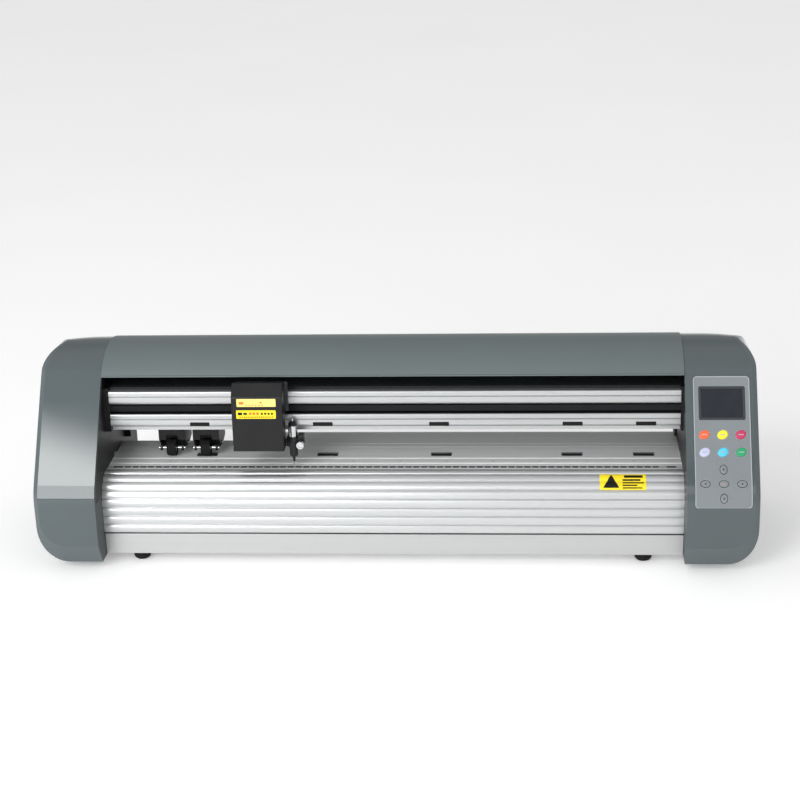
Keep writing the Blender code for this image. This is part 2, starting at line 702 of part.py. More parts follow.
def build_feed_motor():
    y, z = FEED_MOTOR_Y, FEED_MOTOR_Z
    half = 21.0
    face_x = FEED_PULLEY_X[0] - 3.0
    motor = box((face_x - 46.0, face_x), (y - half, y + half), (z - half, z + half))
    join(motor, cylinder("X", (y, z), 11.0, (face_x - 1.0, face_x + 1.5)),
         cylinder("X", (y, z), 2.5, (face_x - 1.0, FEED_PULLEY_X[1] + 1.0), 16))
    arm = box((face_x - 3.0, OPEN_LEFT - 2.5 - GAP), (y + 14.0, y + 20.5), (z - 20.0, z + 20.0))
    join(motor, arm)
    finish(motor, "feed_motor", "black_steel")


# ---------------------------------------------------------------- carriage drive
def build_carriage_drive():
    z_low, z_high = BELT_Z
    profile = pulley_profile(z_low - 1.2, z_high + 1.2, 2.5 + GAP, PULLEY_RADIUS)
    for name, x in (("carriage_motor_pulley", MOTOR_PULLEY_X), ("carriage_idler_pulley", IDLER_PULLEY_X)):
        pulley = turned("Z", (x, BELT_Y), profile, 20)
        finish(pulley, name, "aluminium", (x, BELT_Y, 0.0))
    belt = belt_loop("Z", (IDLER_PULLEY_X, BELT_Y), (MOTOR_PULLEY_X, BELT_Y), PULLEY_RADIUS,
                     BELT_THICK, (z_low + 0.3, z_high - 0.3))
    finish(belt, "carriage_belt", "belt")
    build_carriage_motor()


def build_carriage_motor():
    x, y = MOTOR_PULLEY_X, BELT_Y
    half = 21.0
    top = BELT_Z[0] - 5.5
    motor = box((x - half, x + half), (y - half, y + half), (top - 44.0, top))
    join(motor, cylinder("Z", (x, y), 11.0, (top - 1.0, top + 1.5)),
         cylinder("Z", (x, y), 2.5, (top - 1.0, BELT_Z[1] + 2.0), 16),
         box((OPEN_RIGHT + 2.5 + GAP, x - half + 4.0), (y - 20.0, y + 20.0), (top - 5.0, top - 1.0)))
    finish(motor, "carriage_motor", "black_steel")


def idler_fork():
    """The idler's fork and pin, welded to the left side plate."""
    x, y = IDLER_PULLEY_X, BELT_Y
    low, high = BELT_Z
    inner = OPEN_LEFT - 1.0
    bracket = box((x - 12.0, inner), (y - 14.0, y + 14.0), (low - 5.0, low - 2.5))
    join(bracket, box((x - 12.0, inner), (y - 14.0, y + 14.0), (high + 2.5, high + 5.0)),
         box((x - 17.0, x - 11.5), (y - 14.0, y + 14.0), (low - 5.0, high + 5.0)),
         cylinder("Z", (x, y), 2.5, (low - 4.0, high + 4.0), 16))
    return bracket


def build_carriage():
    """Carriage plate, its cover and guide wheels, and the lift coil."""
    slide = joint_empty("carriage_slide", (WHEEL_X, RAIL_FRONT, 190.0))
    origin = (WHEEL_X, RAIL_FRONT, 190.0)
    left, right = COVER_X
    plate = box((left + 3.0, right + 3.5), PLATE_Y, (150.0, 226.0))
    belt_front = BELT_Y - PULLEY_RADIUS - BELT_THICK
    clamp = box((WHEEL_X - 14.0, WHEEL_X + 14.0), (PLATE_Y[0] + 1.0, belt_front - GAP),
                (BELT_Z[0] + 0.5, BELT_Z[1] - 0.5))
    join(plate, clamp)
    cut(plate, box((TOOL_X - 10.0, TOOL_X + 10.0), (-60.0, -30.0), (140.0, 188.0)))
    upper_z, lower_z = wheel_heights()
    for z in (upper_z, lower_z):
        join(plate, cylinder("Y", (WHEEL_X, z), 1.5, (PLATE_Y[1] - 1.0, -33.0), 12))
    for x in TONGUE_X:
        guide = sorted((x, x + math.copysign(2.0, x - sum(TONGUE_X) / 2)))
        join(plate, box(guide, (-50.0, PLATE_Y[0] + 1.0), (152.0, 196.0)))
    finish(plate, "carriage_plate", "zinc", origin, parent=slide)
    build_carriage_cover(origin, slide)
    for name, z in (("carriage_upper_wheel", upper_z), ("carriage_lower_wheel", lower_z)):
        ring = [(1.5 + GAP, -34.0), (4.8, -34.0), (WHEEL_RADIUS, -35.2), (WHEEL_RADIUS, -38.8),
                (4.8, -40.0), (1.5 + GAP, -40.0)]
        wheel = turned("Y", (WHEEL_X, z), ring, 16)
        finish(wheel, name, "black_plastic", (WHEEL_X, -37.0, z), parent=slide)
    coil = cylinder("Z", (-170.0, -59.0), 11.0, (168.0, 205.0), 20)
    join(coil, box((-182.0, -156.0), (-71.0, PLATE_Y[0] - GAP), (165.0, 169.0)))
    finish(coil, "tool_lift_coil", "zinc", origin, parent=slide)


def wheel_heights():
    return UPPER_RAIL[1] + GAP + WHEEL_RADIUS, LOWER_RAIL[0] - GAP - WHEEL_RADIUS


def build_carriage_cover(origin, slide):
    low, rear_top = COVER_LOW_EDGE, COVER_REAR_TOP
    rear = PLATE_Y[0] - GAP
    wall = 2.0
    outer = [(COVER_FRONT, low), COVER_SHOULDER, COVER_CREST, (rear, rear_top), (rear, low)]
    (shoulder_y, shoulder_z), (crest_y, crest_z) = COVER_SHOULDER, COVER_CREST
    inner = [(COVER_FRONT + wall, low - 5.0), (shoulder_y + wall, shoulder_z - 0.6),
             (crest_y + 0.4, crest_z - wall - 0.6), (rear + 5.0, rear_top - wall - 1.6),
             (rear + 5.0, low - 5.0)]
    shell = prism("X", outer, COVER_X)
    hollow = prism("X", inner, (COVER_X[0] + wall, COVER_X[1] - wall))
    slot = box((COVER_X[1] - 5.0, COVER_X[1] + 5.0), (-56.0, -40.0), (140.0, 180.0))
    finish(cut(shell, hollow, slot), "carriage_cover", "black_plastic", origin, parent=slide)


def build_tool():
    """Clamp, thumb screw, blade holder and the swivelling blade."""
    low, high = CLAMP_Z
    origin = (TOOL_X, TOOL_Y, high)
    lift = joint_empty("tool_lift_slide", origin)
    clamp = cylinder("Z", (TOOL_X, TOOL_Y), 8.5, (low, high), 20)
    tongue = (TONGUE_X[0] + GAP, TONGUE_X[1] - GAP)
    join(clamp, box((tongue[0], TOOL_X - 5.0), (-51.0, PLATE_Y[0] - GAP), (low, low + 8.0)),
         box(tongue, (-49.0, PLATE_Y[0] - GAP), (low + 1.0, 186.0)),
         box((TOOL_X + 4.0, TOOL_X + 13.0), (TOOL_Y - 4.0, TOOL_Y + 4.0), (low + 1.0, high - 1.0)),
         box((TOOL_X + 7.0, TOOL_X + 14.0), (TOOL_Y - 4.5, TOOL_Y + 4.5), (low + 0.5, high + 4.0)))
    cut(clamp, cylinder("Z", (TOOL_X, TOOL_Y), 5.2 + GAP, (low - 5.0, high + 10.0), 20))
    finish(clamp, "tool_clamp", "black_plastic", origin, parent=lift)
    build_blade_holder(origin, lift)
    screw_x, screw_z = TOOL_X + 10.0, low + 4.0
    seat, back, front = TOOL_Y - 4.5 - GAP, TOOL_Y - 8.0, TOOL_Y - 13.0
    head = [(0.0, seat), (2.4, seat), (2.4, back), (4.8, back), (5.2, back - 0.5), (5.2, front + 0.6),
            (4.6, front), (0.0, front)]
    screw = turned("Y", (screw_x, screw_z), head, 20)
    finish(screw, "clamp_thumb_screw", "steel", (screw_x, back, screw_z), parent=lift)


def build_blade_holder(origin, lift):
    high = CLAMP_Z[1]
    bore = 1.2
    profile = [(bore, 172.5), (4.0, 172.5), (5.8, 172.0), (5.8, high + 0.4), (5.2, high + 0.4), (5.2, 131.0),
               (4.6, 128.0), (2.6, 126.0), (2.0, 120.5), (bore, 120.5)]
    holder = turned("Z", (TOOL_X, TOOL_Y), profile, 20)
    cap = cylinder("Z", (TOOL_X, TOOL_Y), 3.4, (170.0, 175.0), 16)
    pin = cylinder("Z", (TOOL_X, TOOL_Y), 0.9, (174.0, 181.0), 12)
    join(holder, cap, pin)
    finish(holder, "blade_holder", "steel", origin, parent=lift)
    shank = [(0.0, 160.0), (0.9, 160.0), (0.9, 119.0), (0.25, 117.2), (0.0, 117.2)]
    blade = turned("Z", (TOOL_X, TOOL_Y), shank, 12)
    finish(blade, "swivel_blade", "steel", (TOOL_X, TOOL_Y, 118.0), parent=lift)


# ---------------------------------------------------------------- pinch rollers
def build_pinch_unit(number, x):
    """Bracket hung under the beam, with its arm, wheel and rear lever."""
    prefix = "pinch_%d_" % number
    slide = joint_empty(prefix + "slide", (x, BEAM_REAR, BEAM_LOW))
    build_pinch_bracket(prefix, x, slide)
    build_pinch_arm(prefix, x, slide)
    build_pinch_wheel(prefix, x, slide)
    build_pinch_lever(prefix, x, slide)


def build_pinch_bracket(prefix, x, slide):
    """Top block with a front lip, a hook behind the beam and two ears for the pins."""
    py, pz = PINCH_PIVOT
    top = BEAM_LOW - GAP
    low = top - 9.0
    across = (x - PINCH_HALF, x + PINCH_HALF)
    lip_low = low - 8.7
    bracket = box(across, (PINCH_FRONT, PINCH_REAR), (low, top))
    join(bracket, box(across, (PINCH_FRONT, PINCH_FRONT + 3.0), (lip_low, low + 1.0)),
         box(across, (BEAM_REAR + GAP, BEAM_REAR + 4.0), (top - 2.0, top + 30.0)))
    ear = [(PINCH_FRONT, low + 1.0), (PINCH_FRONT, pz + 9.0), (py - 6.0, pz - 3.4), (py + 14.0, pz - 3.4),
           (PINCH_REAR, pz + 0.8), (PINCH_REAR, low + 1.0)]
    for edge in (across[0], across[1] - EAR_THICK):
        join(bracket, prism("X", ear, (edge, edge + EAR_THICK)))
    flap = (lip_low - 6.5, lip_low + 1.0)
    for flap_x in ((across[0], x - 7.5), (x + 7.5, across[1])):
        join(bracket, box(flap_x, (PINCH_FRONT, PINCH_FRONT + 3.0), flap))
    slot_half = 8.5
    cut(bracket, box((x - slot_half, x + slot_half), (LEVER_PIVOT[0] - 8.0, PINCH_REAR + 5.0),
                     (low - 3.0, top + 2.0)))
    join(bracket, cylinder("X", PINCH_PIVOT, PINCH_PIN_RADIUS, (across[0] - 2.0, across[1] + 2.0), 12),
         cylinder("X", LEVER_PIVOT, PINCH_PIN_RADIUS, (across[0] + 1.0, across[1] - 1.0), 12))
    finish(bracket, prefix + "bracket", "black_steel", (x, BEAM_REAR, BEAM_LOW), parent=slide)


def pinch_axle():
    """Y and Z of the wheel's axle, with the wheel just clear of the platen."""
    return PINCH_AXLE_Y, PLATEN_TOP + GAP + PINCH_RADIUS


def build_pinch_arm(prefix, x, slide):
    """Arm on the bracket's pin: a fork for the axle in front, a tail under the lever behind."""
    py, pz = PINCH_PIVOT
    ay, az = pinch_axle()
    arm = box((x - FORK_REACH, x + FORK_REACH), (py - 4.0, py + 4.0), (pz - 4.0, pz + 4.0))
    fork = [(py - 3.0, pz + 4.0), (ay - 2.0, az + 3.4), (ay - 4.0, az), (ay - 2.0, az - 3.4),
            (py - 3.0, pz - 4.0)]
    for edge in (x - FORK_REACH, x + FORK_REACH - FORK_THICK):
        join(arm, prism("X", fork, (edge, edge + FORK_THICK)))
    ly, cam_low = LEVER_PIVOT[0], LEVER_PIVOT[1] - 6.0
    tail = [(py + 1.0, pz + 3.5), (ly - 3.0, cam_low), (ly + 3.0, cam_low), (ly + 3.0, cam_low - 3.5),
            (py + 3.5, pz - 3.5)]
    join(arm, prism("X", tail, (x - 6.5, x + 6.5)))
    cut(arm, cylinder("X", PINCH_PIVOT, PINCH_PIN_RADIUS + GAP, (x - 30.0, x + 30.0), 16),
        cylinder("X", (ay, az), AXLE_RADIUS + GAP, (x - 30.0, x + 30.0), 16))
    finish(arm, prefix + "arm", "black_steel", (x, py, pz), parent=slide)


def build_pinch_wheel(prefix, x, slide):
    """Rubber wheel with the axle that turns in the arm's fork."""
    axle = pinch_axle()
    half, rim = PINCH_WIDTH / 2, PINCH_RADIUS
    outline = [(0.0, AXLE_HALF), (AXLE_RADIUS, AXLE_HALF), (AXLE_RADIUS, half), (rim - 1.0, half),
               (rim, half - 1.0), (rim, 1.0 - half), (rim - 1.0, -half), (AXLE_RADIUS, -half),
               (AXLE_RADIUS, -AXLE_HALF), (0.0, -AXLE_HALF)]
    wheel = turned("X", axle, [(radius, x + along) for radius, along in outline], 20)
    finish(wheel, prefix + "wheel", "rubber", (x, *axle), parent=slide)


def build_pinch_lever(prefix, x, slide):
    """Cam and handle that lift the arm from behind the beam."""
    y, z = LEVER_PIVOT
    lever = cylinder("X", LEVER_PIVOT, 5.0, (x - 7.5, x + 7.5), 16)
    handle = [(y - 2.0, z + 4.8), (y + 4.0, z + 2.0), (y + 30.0, z + 14.0), (y + 28.0, z + 18.0)]
    join(lever, prism("X", handle, (x - 6.0, x + 6.0)))
    cut(lever, cylinder("X", LEVER_PIVOT, PINCH_PIN_RADIUS + GAP, (x - 20.0, x + 20.0), 16))
    finish(lever, prefix + "lever", "black_plastic", (x, y, z), parent=slide)


# ---------------------------------------------------------------- control panel
def key_layout():
    """Every key: name, X, distance down the face, radii, turn and material."""
    top = (("cut", "key_red"), ("pause", "key_yellow"), ("origin", "key_crimson"))
    low = (("speed", "key_lavender"), ("test", "key_cyan"), ("menu", "key_green"))
    keys = []
    for row, s in zip((top, low), KEY_ROWS):
        for (name, colour), x in zip(row, KEY_COLUMNS):
            keys.append((name, x, s, KEY_RADII, KEY_TURN, colour))
    left, middle, right = KEY_COLUMNS
    upright = (ARROW_RADII[1], ARROW_RADII[0])
    keys += [("up", middle, ARROW_S[0], upright, 0.0, "key_grey"),
             ("left", left, ARROW_S[1], ARROW_RADII, 0.0, "key_grey"),
             ("enter", middle, ARROW_S[1], ARROW_RADII, 0.0, "key_grey"),
             ("right", right, ARROW_S[1], ARROW_RADII, 0.0, "key_grey"),
             ("down", middle, ARROW_S[2], upright, 0.0, "key_grey")]
    return keys


def build_panel():
    low, high = PANEL_PROUD - PANEL_THICK, PANEL_PROUD
    panel = flat_plate(PANEL_X, PANEL_S, 5.0, low, high)
    cut(panel, flat_plate(WINDOW_X, WINDOW_S, 2.0, low - 5.0, high + 5.0))
    for name, x, s, radii, turn, colour in key_layout():
        grown = (radii[0] + GAP, radii[1] + GAP)
        cut(panel, prism("Z", ellipse((x, -s), grown, turn), (low - 5.0, high + 5.0)))
    finish(wrapped(panel), "control_panel", "panel_grey")
    screen = flat_plate(WINDOW_X, WINDOW_S, 2.0, -6.0, -1.0, -0.4)
    finish(wrapped(screen), "display_screen", "glass")
    for name, x, s, radii, turn, colour in key_layout():
        build_key(name, x, s, radii, turn, colour)


def build_key(name, x, s, radii, turn, colour):
    """A low domed key that rides in its hole, square to the panel."""
    y, z, lean = face(s)
    base, top = PANEL_PROUD - PANEL_THICK + 0.7, PANEL_PROUD + 0.9
    outline = ellipse((0.0, 0.0), radii, turn)
    key = prism("Z", outline, (base, top))
    bm = bmesh.new()
    bm.from_mesh(key.data)
    upper = [v for v in bm.verts if v.co.z > (top - 0.1) * MM]
    bmesh.ops.scale(bm, vec=(0.9, 0.9, 1.0), verts=upper)
    bm.to_mesh(key.data)
    bm.free()
    rotation = Matrix.Rotation(math.pi / 2 - lean, 3, "X")
    key.matrix_world = Matrix.Translation(Vector((x, y, z)) * MM) @ rotation.to_4x4()
    finish(key, "key_" + name, colour, (x, y, z), rotation)


# ---------------------------------------------------------------- electrics
def build_electrics():
    x, z = REAR_HOLES["power_inlet"]
    inlet = box((x[0] - 2.0, x[1] + 2.0), (BACK_Y + GAP, BACK_Y + 2.0), (z[0] - 2.0, z[1] + 2.0))
    join(inlet, box(x, (BACK_Y - 22.0, BACK_Y + 1.0), z))
    cut(inlet, box((x[0] + 2.0, x[1] - 2.0), (BACK_Y - 16.0, BACK_Y + 5.0), (z[0] + 2.0, z[1] - 2.0)))
    for dx in (-7.0, 0.0, 7.0):
        middle = (x[0] + x[1]) / 2 + dx
        join(inlet, box((middle - 1.0, middle + 1.0), (BACK_Y - 17.0, BACK_Y - 2.0), (56.0, 60.0)))
    finish(inlet, "power_inlet", "black_plastic")
    x, z = REAR_HOLES["power_switch"]
    centre = ((x[0] + x[1]) / 2, BACK_Y - 3.0, (z[0] + z[1]) / 2)
    side = 0.9
    rocker = prism("Z", [(x[0] + side, 3.0), (x[0] + side, 4.0), (centre[0], 2.6), (x[1] - side, 4.0),
                         (x[1] - side, 3.0), (centre[0] + 4.0, -5.0), (centre[0] - 4.0, -5.0)],
                   (z[0] + 0.6, z[1] - 0.6))
    rest = Matrix.Rotation(math.radians(-ROCKER_SWING / 2), 4, "Z")
    middle = Matrix.Translation((centre[0] * MM, 0.0, 0.0))
    rocker.data.transform(Matrix.Translation((0.0, centre[1] * MM, 0.0)) @ middle @ rest @ middle.inverted())
    finish(rocker, "power_switch", "black_plastic", centre)
    x, z = REAR_HOLES["data_port"]
    port = box(x, (BACK_Y - 18.0, BACK_Y + 0.8), z)
    cut(port, box((x[0] + 1.5, x[1] - 1.5), (BACK_Y - 10.0, BACK_Y + 5.0), (z[0] + 1.5, z[1] - 1.5)))
    finish(port, "data_port", "zinc")
    build_boards()


def build_boards():
    """Main board on the right side plate and the power supply in the left cover."""
    near = OPEN_RIGHT + 2.5
    board = box((near + 5.0, near + 6.6), (-60.0, 70.0), (24.0, 92.0))
    for y, z, width, height, depth in ((-40.0, 40.0, 26.0, 26.0, 3.0), (0.0, 60.0, 20.0, 14.0, 2.4),
                                       (40.0, 34.0, 30.0, 10.0, 9.0), (40.0, 74.0, 16.0, 16.0, 12.0)):
        join(board, box((near + 6.0, near + 6.6 + depth), (y - width / 2, y + width / 2),
                        (z - height / 2, z + height / 2)))
    for y in (-56.0, 66.0):
        join(board, cylinder("X", (y, 30.0), 2.5, (near + GAP, near + 5.5), 12))
    finish(board, "main_board", "board_green")
    low = COVER_LOW + COVER_WALL + GAP
    supply = box((-434.0, -380.0), (-98.0, 12.0), (low + 14.0, low + 52.0))
    for y in (-90.0, 4.0):
        join(supply, box((-400.0, -384.0), (y - 6.0, y + 6.0), (low, low + 15.0)))
    finish(supply, "power_supply", "zinc")


clear_scene()
PARTS = new_collection("vinyl_cutter")
build_left_cover()
build_right_cover()
build_hood()
build_side_plates()
build_platen()
build_cutting_strip()
build_base_tray()
build_rear_apron()
build_beam()
build_feet()
build_feed_drive()
build_carriage_drive()
build_carriage()
build_tool()
for index, unit_x in enumerate(PINCH_X, 1):
    build_pinch_unit(index, unit_x)
build_panel()
build_electrics()
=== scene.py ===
"""Looks of the desktop vinyl cutter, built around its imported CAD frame.

Lengths are in millimetres in the code and MM turns them into metres.
+X is the operator's right, -Y is towards the operator and +Z is up.
"""
import json
from math import copysign, cos, pi, radians, sin, sqrt, tan

import bmesh
import bpy
import numpy as np
from mathutils import Matrix, Vector

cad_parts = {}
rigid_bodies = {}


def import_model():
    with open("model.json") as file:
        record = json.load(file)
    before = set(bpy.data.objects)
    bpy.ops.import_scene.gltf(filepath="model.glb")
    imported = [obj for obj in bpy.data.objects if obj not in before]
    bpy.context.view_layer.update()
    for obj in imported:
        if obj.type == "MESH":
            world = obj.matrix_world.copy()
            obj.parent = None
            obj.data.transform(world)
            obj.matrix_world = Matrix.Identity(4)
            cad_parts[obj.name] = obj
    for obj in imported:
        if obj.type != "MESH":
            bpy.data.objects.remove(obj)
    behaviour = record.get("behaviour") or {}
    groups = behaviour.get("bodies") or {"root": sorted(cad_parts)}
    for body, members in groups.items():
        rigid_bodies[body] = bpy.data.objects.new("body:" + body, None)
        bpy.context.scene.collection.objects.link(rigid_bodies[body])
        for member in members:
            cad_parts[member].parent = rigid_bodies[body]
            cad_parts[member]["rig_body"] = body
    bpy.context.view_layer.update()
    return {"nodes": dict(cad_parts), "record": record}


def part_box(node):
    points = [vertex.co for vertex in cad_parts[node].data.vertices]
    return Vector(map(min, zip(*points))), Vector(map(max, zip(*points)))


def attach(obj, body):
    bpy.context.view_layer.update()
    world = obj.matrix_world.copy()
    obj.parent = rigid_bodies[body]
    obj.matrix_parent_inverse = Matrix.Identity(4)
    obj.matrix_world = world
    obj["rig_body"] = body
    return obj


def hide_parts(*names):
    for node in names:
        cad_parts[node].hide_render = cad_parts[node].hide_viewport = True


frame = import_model()
MM = 0.001
GAP = 0.3
SLOTS = {part["node"]: part["material_slot"] for part in frame["record"]["subparts"]}


def span(cad_node, axis):
    low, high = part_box(cad_node)
    return low[axis] / MM, high[axis] / MM


def middle_of(cad_node):
    return [sum(span(cad_node, axis)) / 2 for axis in (0, 1, 2)]


# Sizes read off the frame
LEFT_END, OPEN_LEFT = span("left_cover", 0)
OPEN_RIGHT, RIGHT_END = span("right_cover", 0)
COVER_TRIM = 2.0               # the shown covers end this much inside the CAD ends
LEFT_END, RIGHT_END = LEFT_END + COVER_TRIM, RIGHT_END - COVER_TRIM
BACK_Y = span("right_cover", 1)[1]
COVER_LOW, RIDGE_Z = span("right_cover", 2)
BEAM_LEFT, BEAM_RIGHT = span("guide_beam", 0)
RAIL_FRONT, BEAM_REAR = span("guide_beam", 1)
BEAM_LOW, BEAM_HIGH = span("guide_beam", 2)
STRIP_Y = middle_of("cutting_strip")[1]
STRIP_TOP = span("cutting_strip", 2)[1]
PLATEN_TOP = STRIP_TOP - 0.1
PLATEN_REAR = span("platen", 1)[1]
APRON_FOOT_Z = span("platen", 2)[0] + 1.2     # leaves a dark seam above the base plate
FOOT_TOP = span("foot_front_left", 2)[1]
TOOL_X, TOOL_Y = middle_of("blade_holder")[:2]

# Driving sizes of the moulded covers
COVER_WALL = 4.0
CORNER_TOP = 22.0
CORNER_LOW = (36.0, 52.0)
RIM_CORNER = (30.0, 34.0)
RIM = 6.0
RIM_DEPTH = 4.5
REAR_DROP = 18.0
EAVE_Y, EAVE_Z = -40.8, 231.5
FACE_LEAN = radians(34.5)
FACE_STRAIGHT = 138.3
BEND_RADIUS = 45.0
BEND_END = FACE_STRAIGHT + BEND_RADIUS * FACE_LEAN
LIP_Z, LIP_Y = 38.0, -112.0
RIDGE_Y = 25.0
BACK_TOP_Z = 176.0
BACK_CHAMFER = 12.0
HOOD_PROUD, HOOD_THICK = 1.0, 1.6

# Panel layout in (X, distance down the face)
PANEL_X, PANEL_S = (369.5, 438.3), (0.6, 166.2)
PANEL_THICK, PANEL_PROUD = 2.0, 0.4
WINDOW_X, WINDOW_S = (376.0, 432.4), (13.5, 56.0)
KEY_COLUMNS = (382.0, 404.0, 426.0)
KEY_ROWS = (74.6, 96.5)
ARROW_S = (118.0, 135.9, 153.6)
KEY_RADII, ARROW_RADII = (6.6, 5.4), (6.2, 4.6)
KEY_TURN = radians(30.0)
ARROW_KEYS = ("up", "left", "enter", "right", "down")
REAR_HOLES = (((391.0, 418.0), (48.0, 68.0)), ((394.0, 415.0), (84.0, 99.0)), ((398.5, 411.5), (114.0,
        126.0)))

# Platen, beam and tool
APRON_START_Y, APRON_RADIUS, APRON_RIDGES = -56.0, 34.0, 8
PLATEN_THICK, APRON_THICK, REAR_APRON_THICK = 2.6, 3.8, 1.5
SHAFT_Y = -3.0
GRIT_X = (-248.0, -91.0, 56.0, 223.0, 314.0)
SLOT_LENGTH, SLOT_WIDTH = 27.0, 13.0
UPPER_RAIL, LOWER_RAIL = (194.5, 212.5), (164.5, 182.0)
RAIL_BACK, CHANNEL_REAR = -31.0, -10.0
PINCH_PIN = (12.0, 124.8)       # Y and Z of each pinch arm's pin
MERGE = 0.002 * MM              # corners closer than this are one
CARRIAGE_LEAN = 2.5 / 70.3     # the carriage cover's front leans back this much per unit of height


# ---- materials
def set_all(made, settings):
    for key, value in settings.items():
        setattr(made, key, value)


def feed(made, values):
    """Constant values straight on a shader node's sockets."""
    for key, value in values.items():
        made.inputs[key].default_value = value


def node(tree, kind, values=None, **settings):
    made = tree.nodes.new("ShaderNode" + kind)
    set_all(made, settings)
    feed(made, values or {})
    return made


def link(tree, output, socket):
    tree.links.new(output, socket)


def noise(tree, stretch, scale, detail=3.0, rough=0.55):
    """A noise value in the frame's own coordinates, stretched along chosen axes."""
    where = node(tree, "TexCoord")
    mapping = node(tree, "Mapping", {"Scale": stretch})
    made = node(tree, "TexNoise", {"Scale": scale, "Detail": detail, "Roughness": rough})
    link(tree, where.outputs["Object"], mapping.inputs["Vector"])
    link(tree, mapping.outputs["Vector"], made.inputs["Vector"])
    return made.outputs["Fac"]


def coordinates(tree, kind):
    """X, Y and Z of a kind of texture coordinate."""
    parts = node(tree, "SeparateXYZ")
    link(tree, node(tree, "TexCoord").outputs[kind], parts.inputs[0])
    return parts.outputs


def remap(tree, value, low, high, start=0.3, end=0.7):
    made = node(tree, "MapRange", {"From Min": start, "From Max": end, "To Min": low, "To Max": high})
    link(tree, value, made.inputs["Value"])
    return made.outputs["Result"]


def tinted(tree, colour, value, amount):
    """The colour, made lighter and darker by a noise value."""
    mix = node(tree, "Mix", data_type="RGBA")
    dark = [part * (1.0 - amount) for part in colour]
    light = [min(part * (1.0 + amount), 1.0) for part in colour]
    mix.inputs[6].default_value = (*dark, 1.0)
    mix.inputs[7].default_value = (*light, 1.0)
    link(tree, remap(tree, value, 0.0, 1.0), mix.inputs[0])
    return mix.outputs[2]


def add_object(name, data):
    made = bpy.data.objects.new(name, data)
    bpy.context.scene.collection.objects.link(made)
    return made


FINISH = {}                     # every finish by its name


def surface(name, colour, roughness, metallic=0.0, grain=900.0, depth=0.02, spread=0.05, amount=0.08,
        stretch=(1.0, 1.0, 1.0), cloud=25.0, wave=0.0, ior=1.5, specular=0.5):
    """A finish with uneven tone, uneven roughness and a fine relief.

    grain is the scale of the relief and depth its height in millimetres.
    cloud is the scale of the broad variation and wave the height of a slow unevenness.
    """
    made = FINISH[name] = bpy.data.materials.new(name)
    made.use_nodes = True
    tree = made.node_tree
    shader = tree.nodes["Principled BSDF"]
    feed(shader, {"Metallic": metallic, "IOR": ior, "Specular IOR Level": specular})
    relief = noise(tree, stretch, grain)
    broad = noise(tree, stretch, cloud, 4.0)
    link(tree, tinted(tree, colour, broad, amount), shader.inputs["Base Color"])
    both = node(tree, "Math", operation="ADD")
    link(tree, remap(tree, relief, -spread / 2, spread / 2), both.inputs[0])
    link(tree, remap(tree, broad, roughness - spread / 2, roughness + spread / 2), both.inputs[1])
    link(tree, both.outputs[0], shader.inputs["Roughness"])
    bump = node(tree, "Bump", {"Strength": 1.0, "Distance": depth * MM})
    link(tree, relief, bump.inputs["Height"])
    if wave:
        slow = node(tree, "Bump", {"Strength": 1.0, "Distance": wave * MM})
        link(tree, noise(tree, (1.0, 1.0, 1.0), 7.0, 1.0), slow.inputs["Height"])
        link(tree, slow.outputs["Normal"], bump.inputs["Normal"])
    link(tree, bump.outputs["Normal"], shader.inputs["Normal"])
    return made


LONG = (0.012, 1.0, 1.0)       # streaks along X, for extruded and brushed pieces


def drawn(name, colour, roughness, metallic, depth, spread, amount, cloud, grain=2400.0):
    """Metal with streaks along X."""
    return surface(name, colour, roughness, metallic, grain, depth, spread, amount, LONG, cloud)


def fine(name, colour, roughness, amount, grain=1500.0, **more):
    """A plain finish with a relief of 4 micrometres: ink, labels and the painted shade on the insides of
    the covers.
    """
    return surface(name, colour, roughness, grain=grain, depth=0.004, amount=amount, **more)


surface("shell", (0.073, 0.092, 0.097), 0.065, grain=1500.0, depth=0.0005, spread=0.02, amount=0.03,
        cloud=9.0, wave=0.05, ior=1.55)
# The covers' plastic made lighter on the rim band round each end, as a painted sheen.
surface("shell_rim_painted_sheen", (0.086, 0.106, 0.112), 0.22, grain=1500.0, depth=0.001, spread=0.04, amount=0.03,
        cloud=9.0)
# The covers' plastic made darker on their inner sides and insides, as painted shade.
fine("shell_side_painted_shade", (0.048, 0.057, 0.06), 0.5, 0.05)
# The covers' rounded edges, far lighter than the plastic: a painted highlight along each crease and rim.
surface("shell_edge_painted_highlight", (0.19, 0.22, 0.23), 0.2, grain=1500.0, depth=0.001, amount=0.05)
surface("hood", (0.114, 0.142, 0.144), 0.42, grain=1400.0, depth=0.006, spread=0.06, amount=0.03, cloud=6.0)
surface("black_steel", (0.007, 0.007, 0.008), 0.45, grain=1800.0, depth=0.01, specular=0.3)
drawn("aluminium", (0.53, 0.54, 0.545), 0.36, 0.85, 0.004, 0.1, 0.05, 160.0, 2200.0)
drawn("platen", (0.62, 0.63, 0.635), 0.34, 0.85, 0.001, 0.04, 0.03, 130.0)
# The platen's aluminium made lighter and less metallic for its flat top and the rear apron: painted light
# where light comes in from behind.
drawn("platen_top_painted_light", (0.82, 0.83, 0.83), 0.42, 0.25, 0.004, 0.1, 0.04, 130.0)
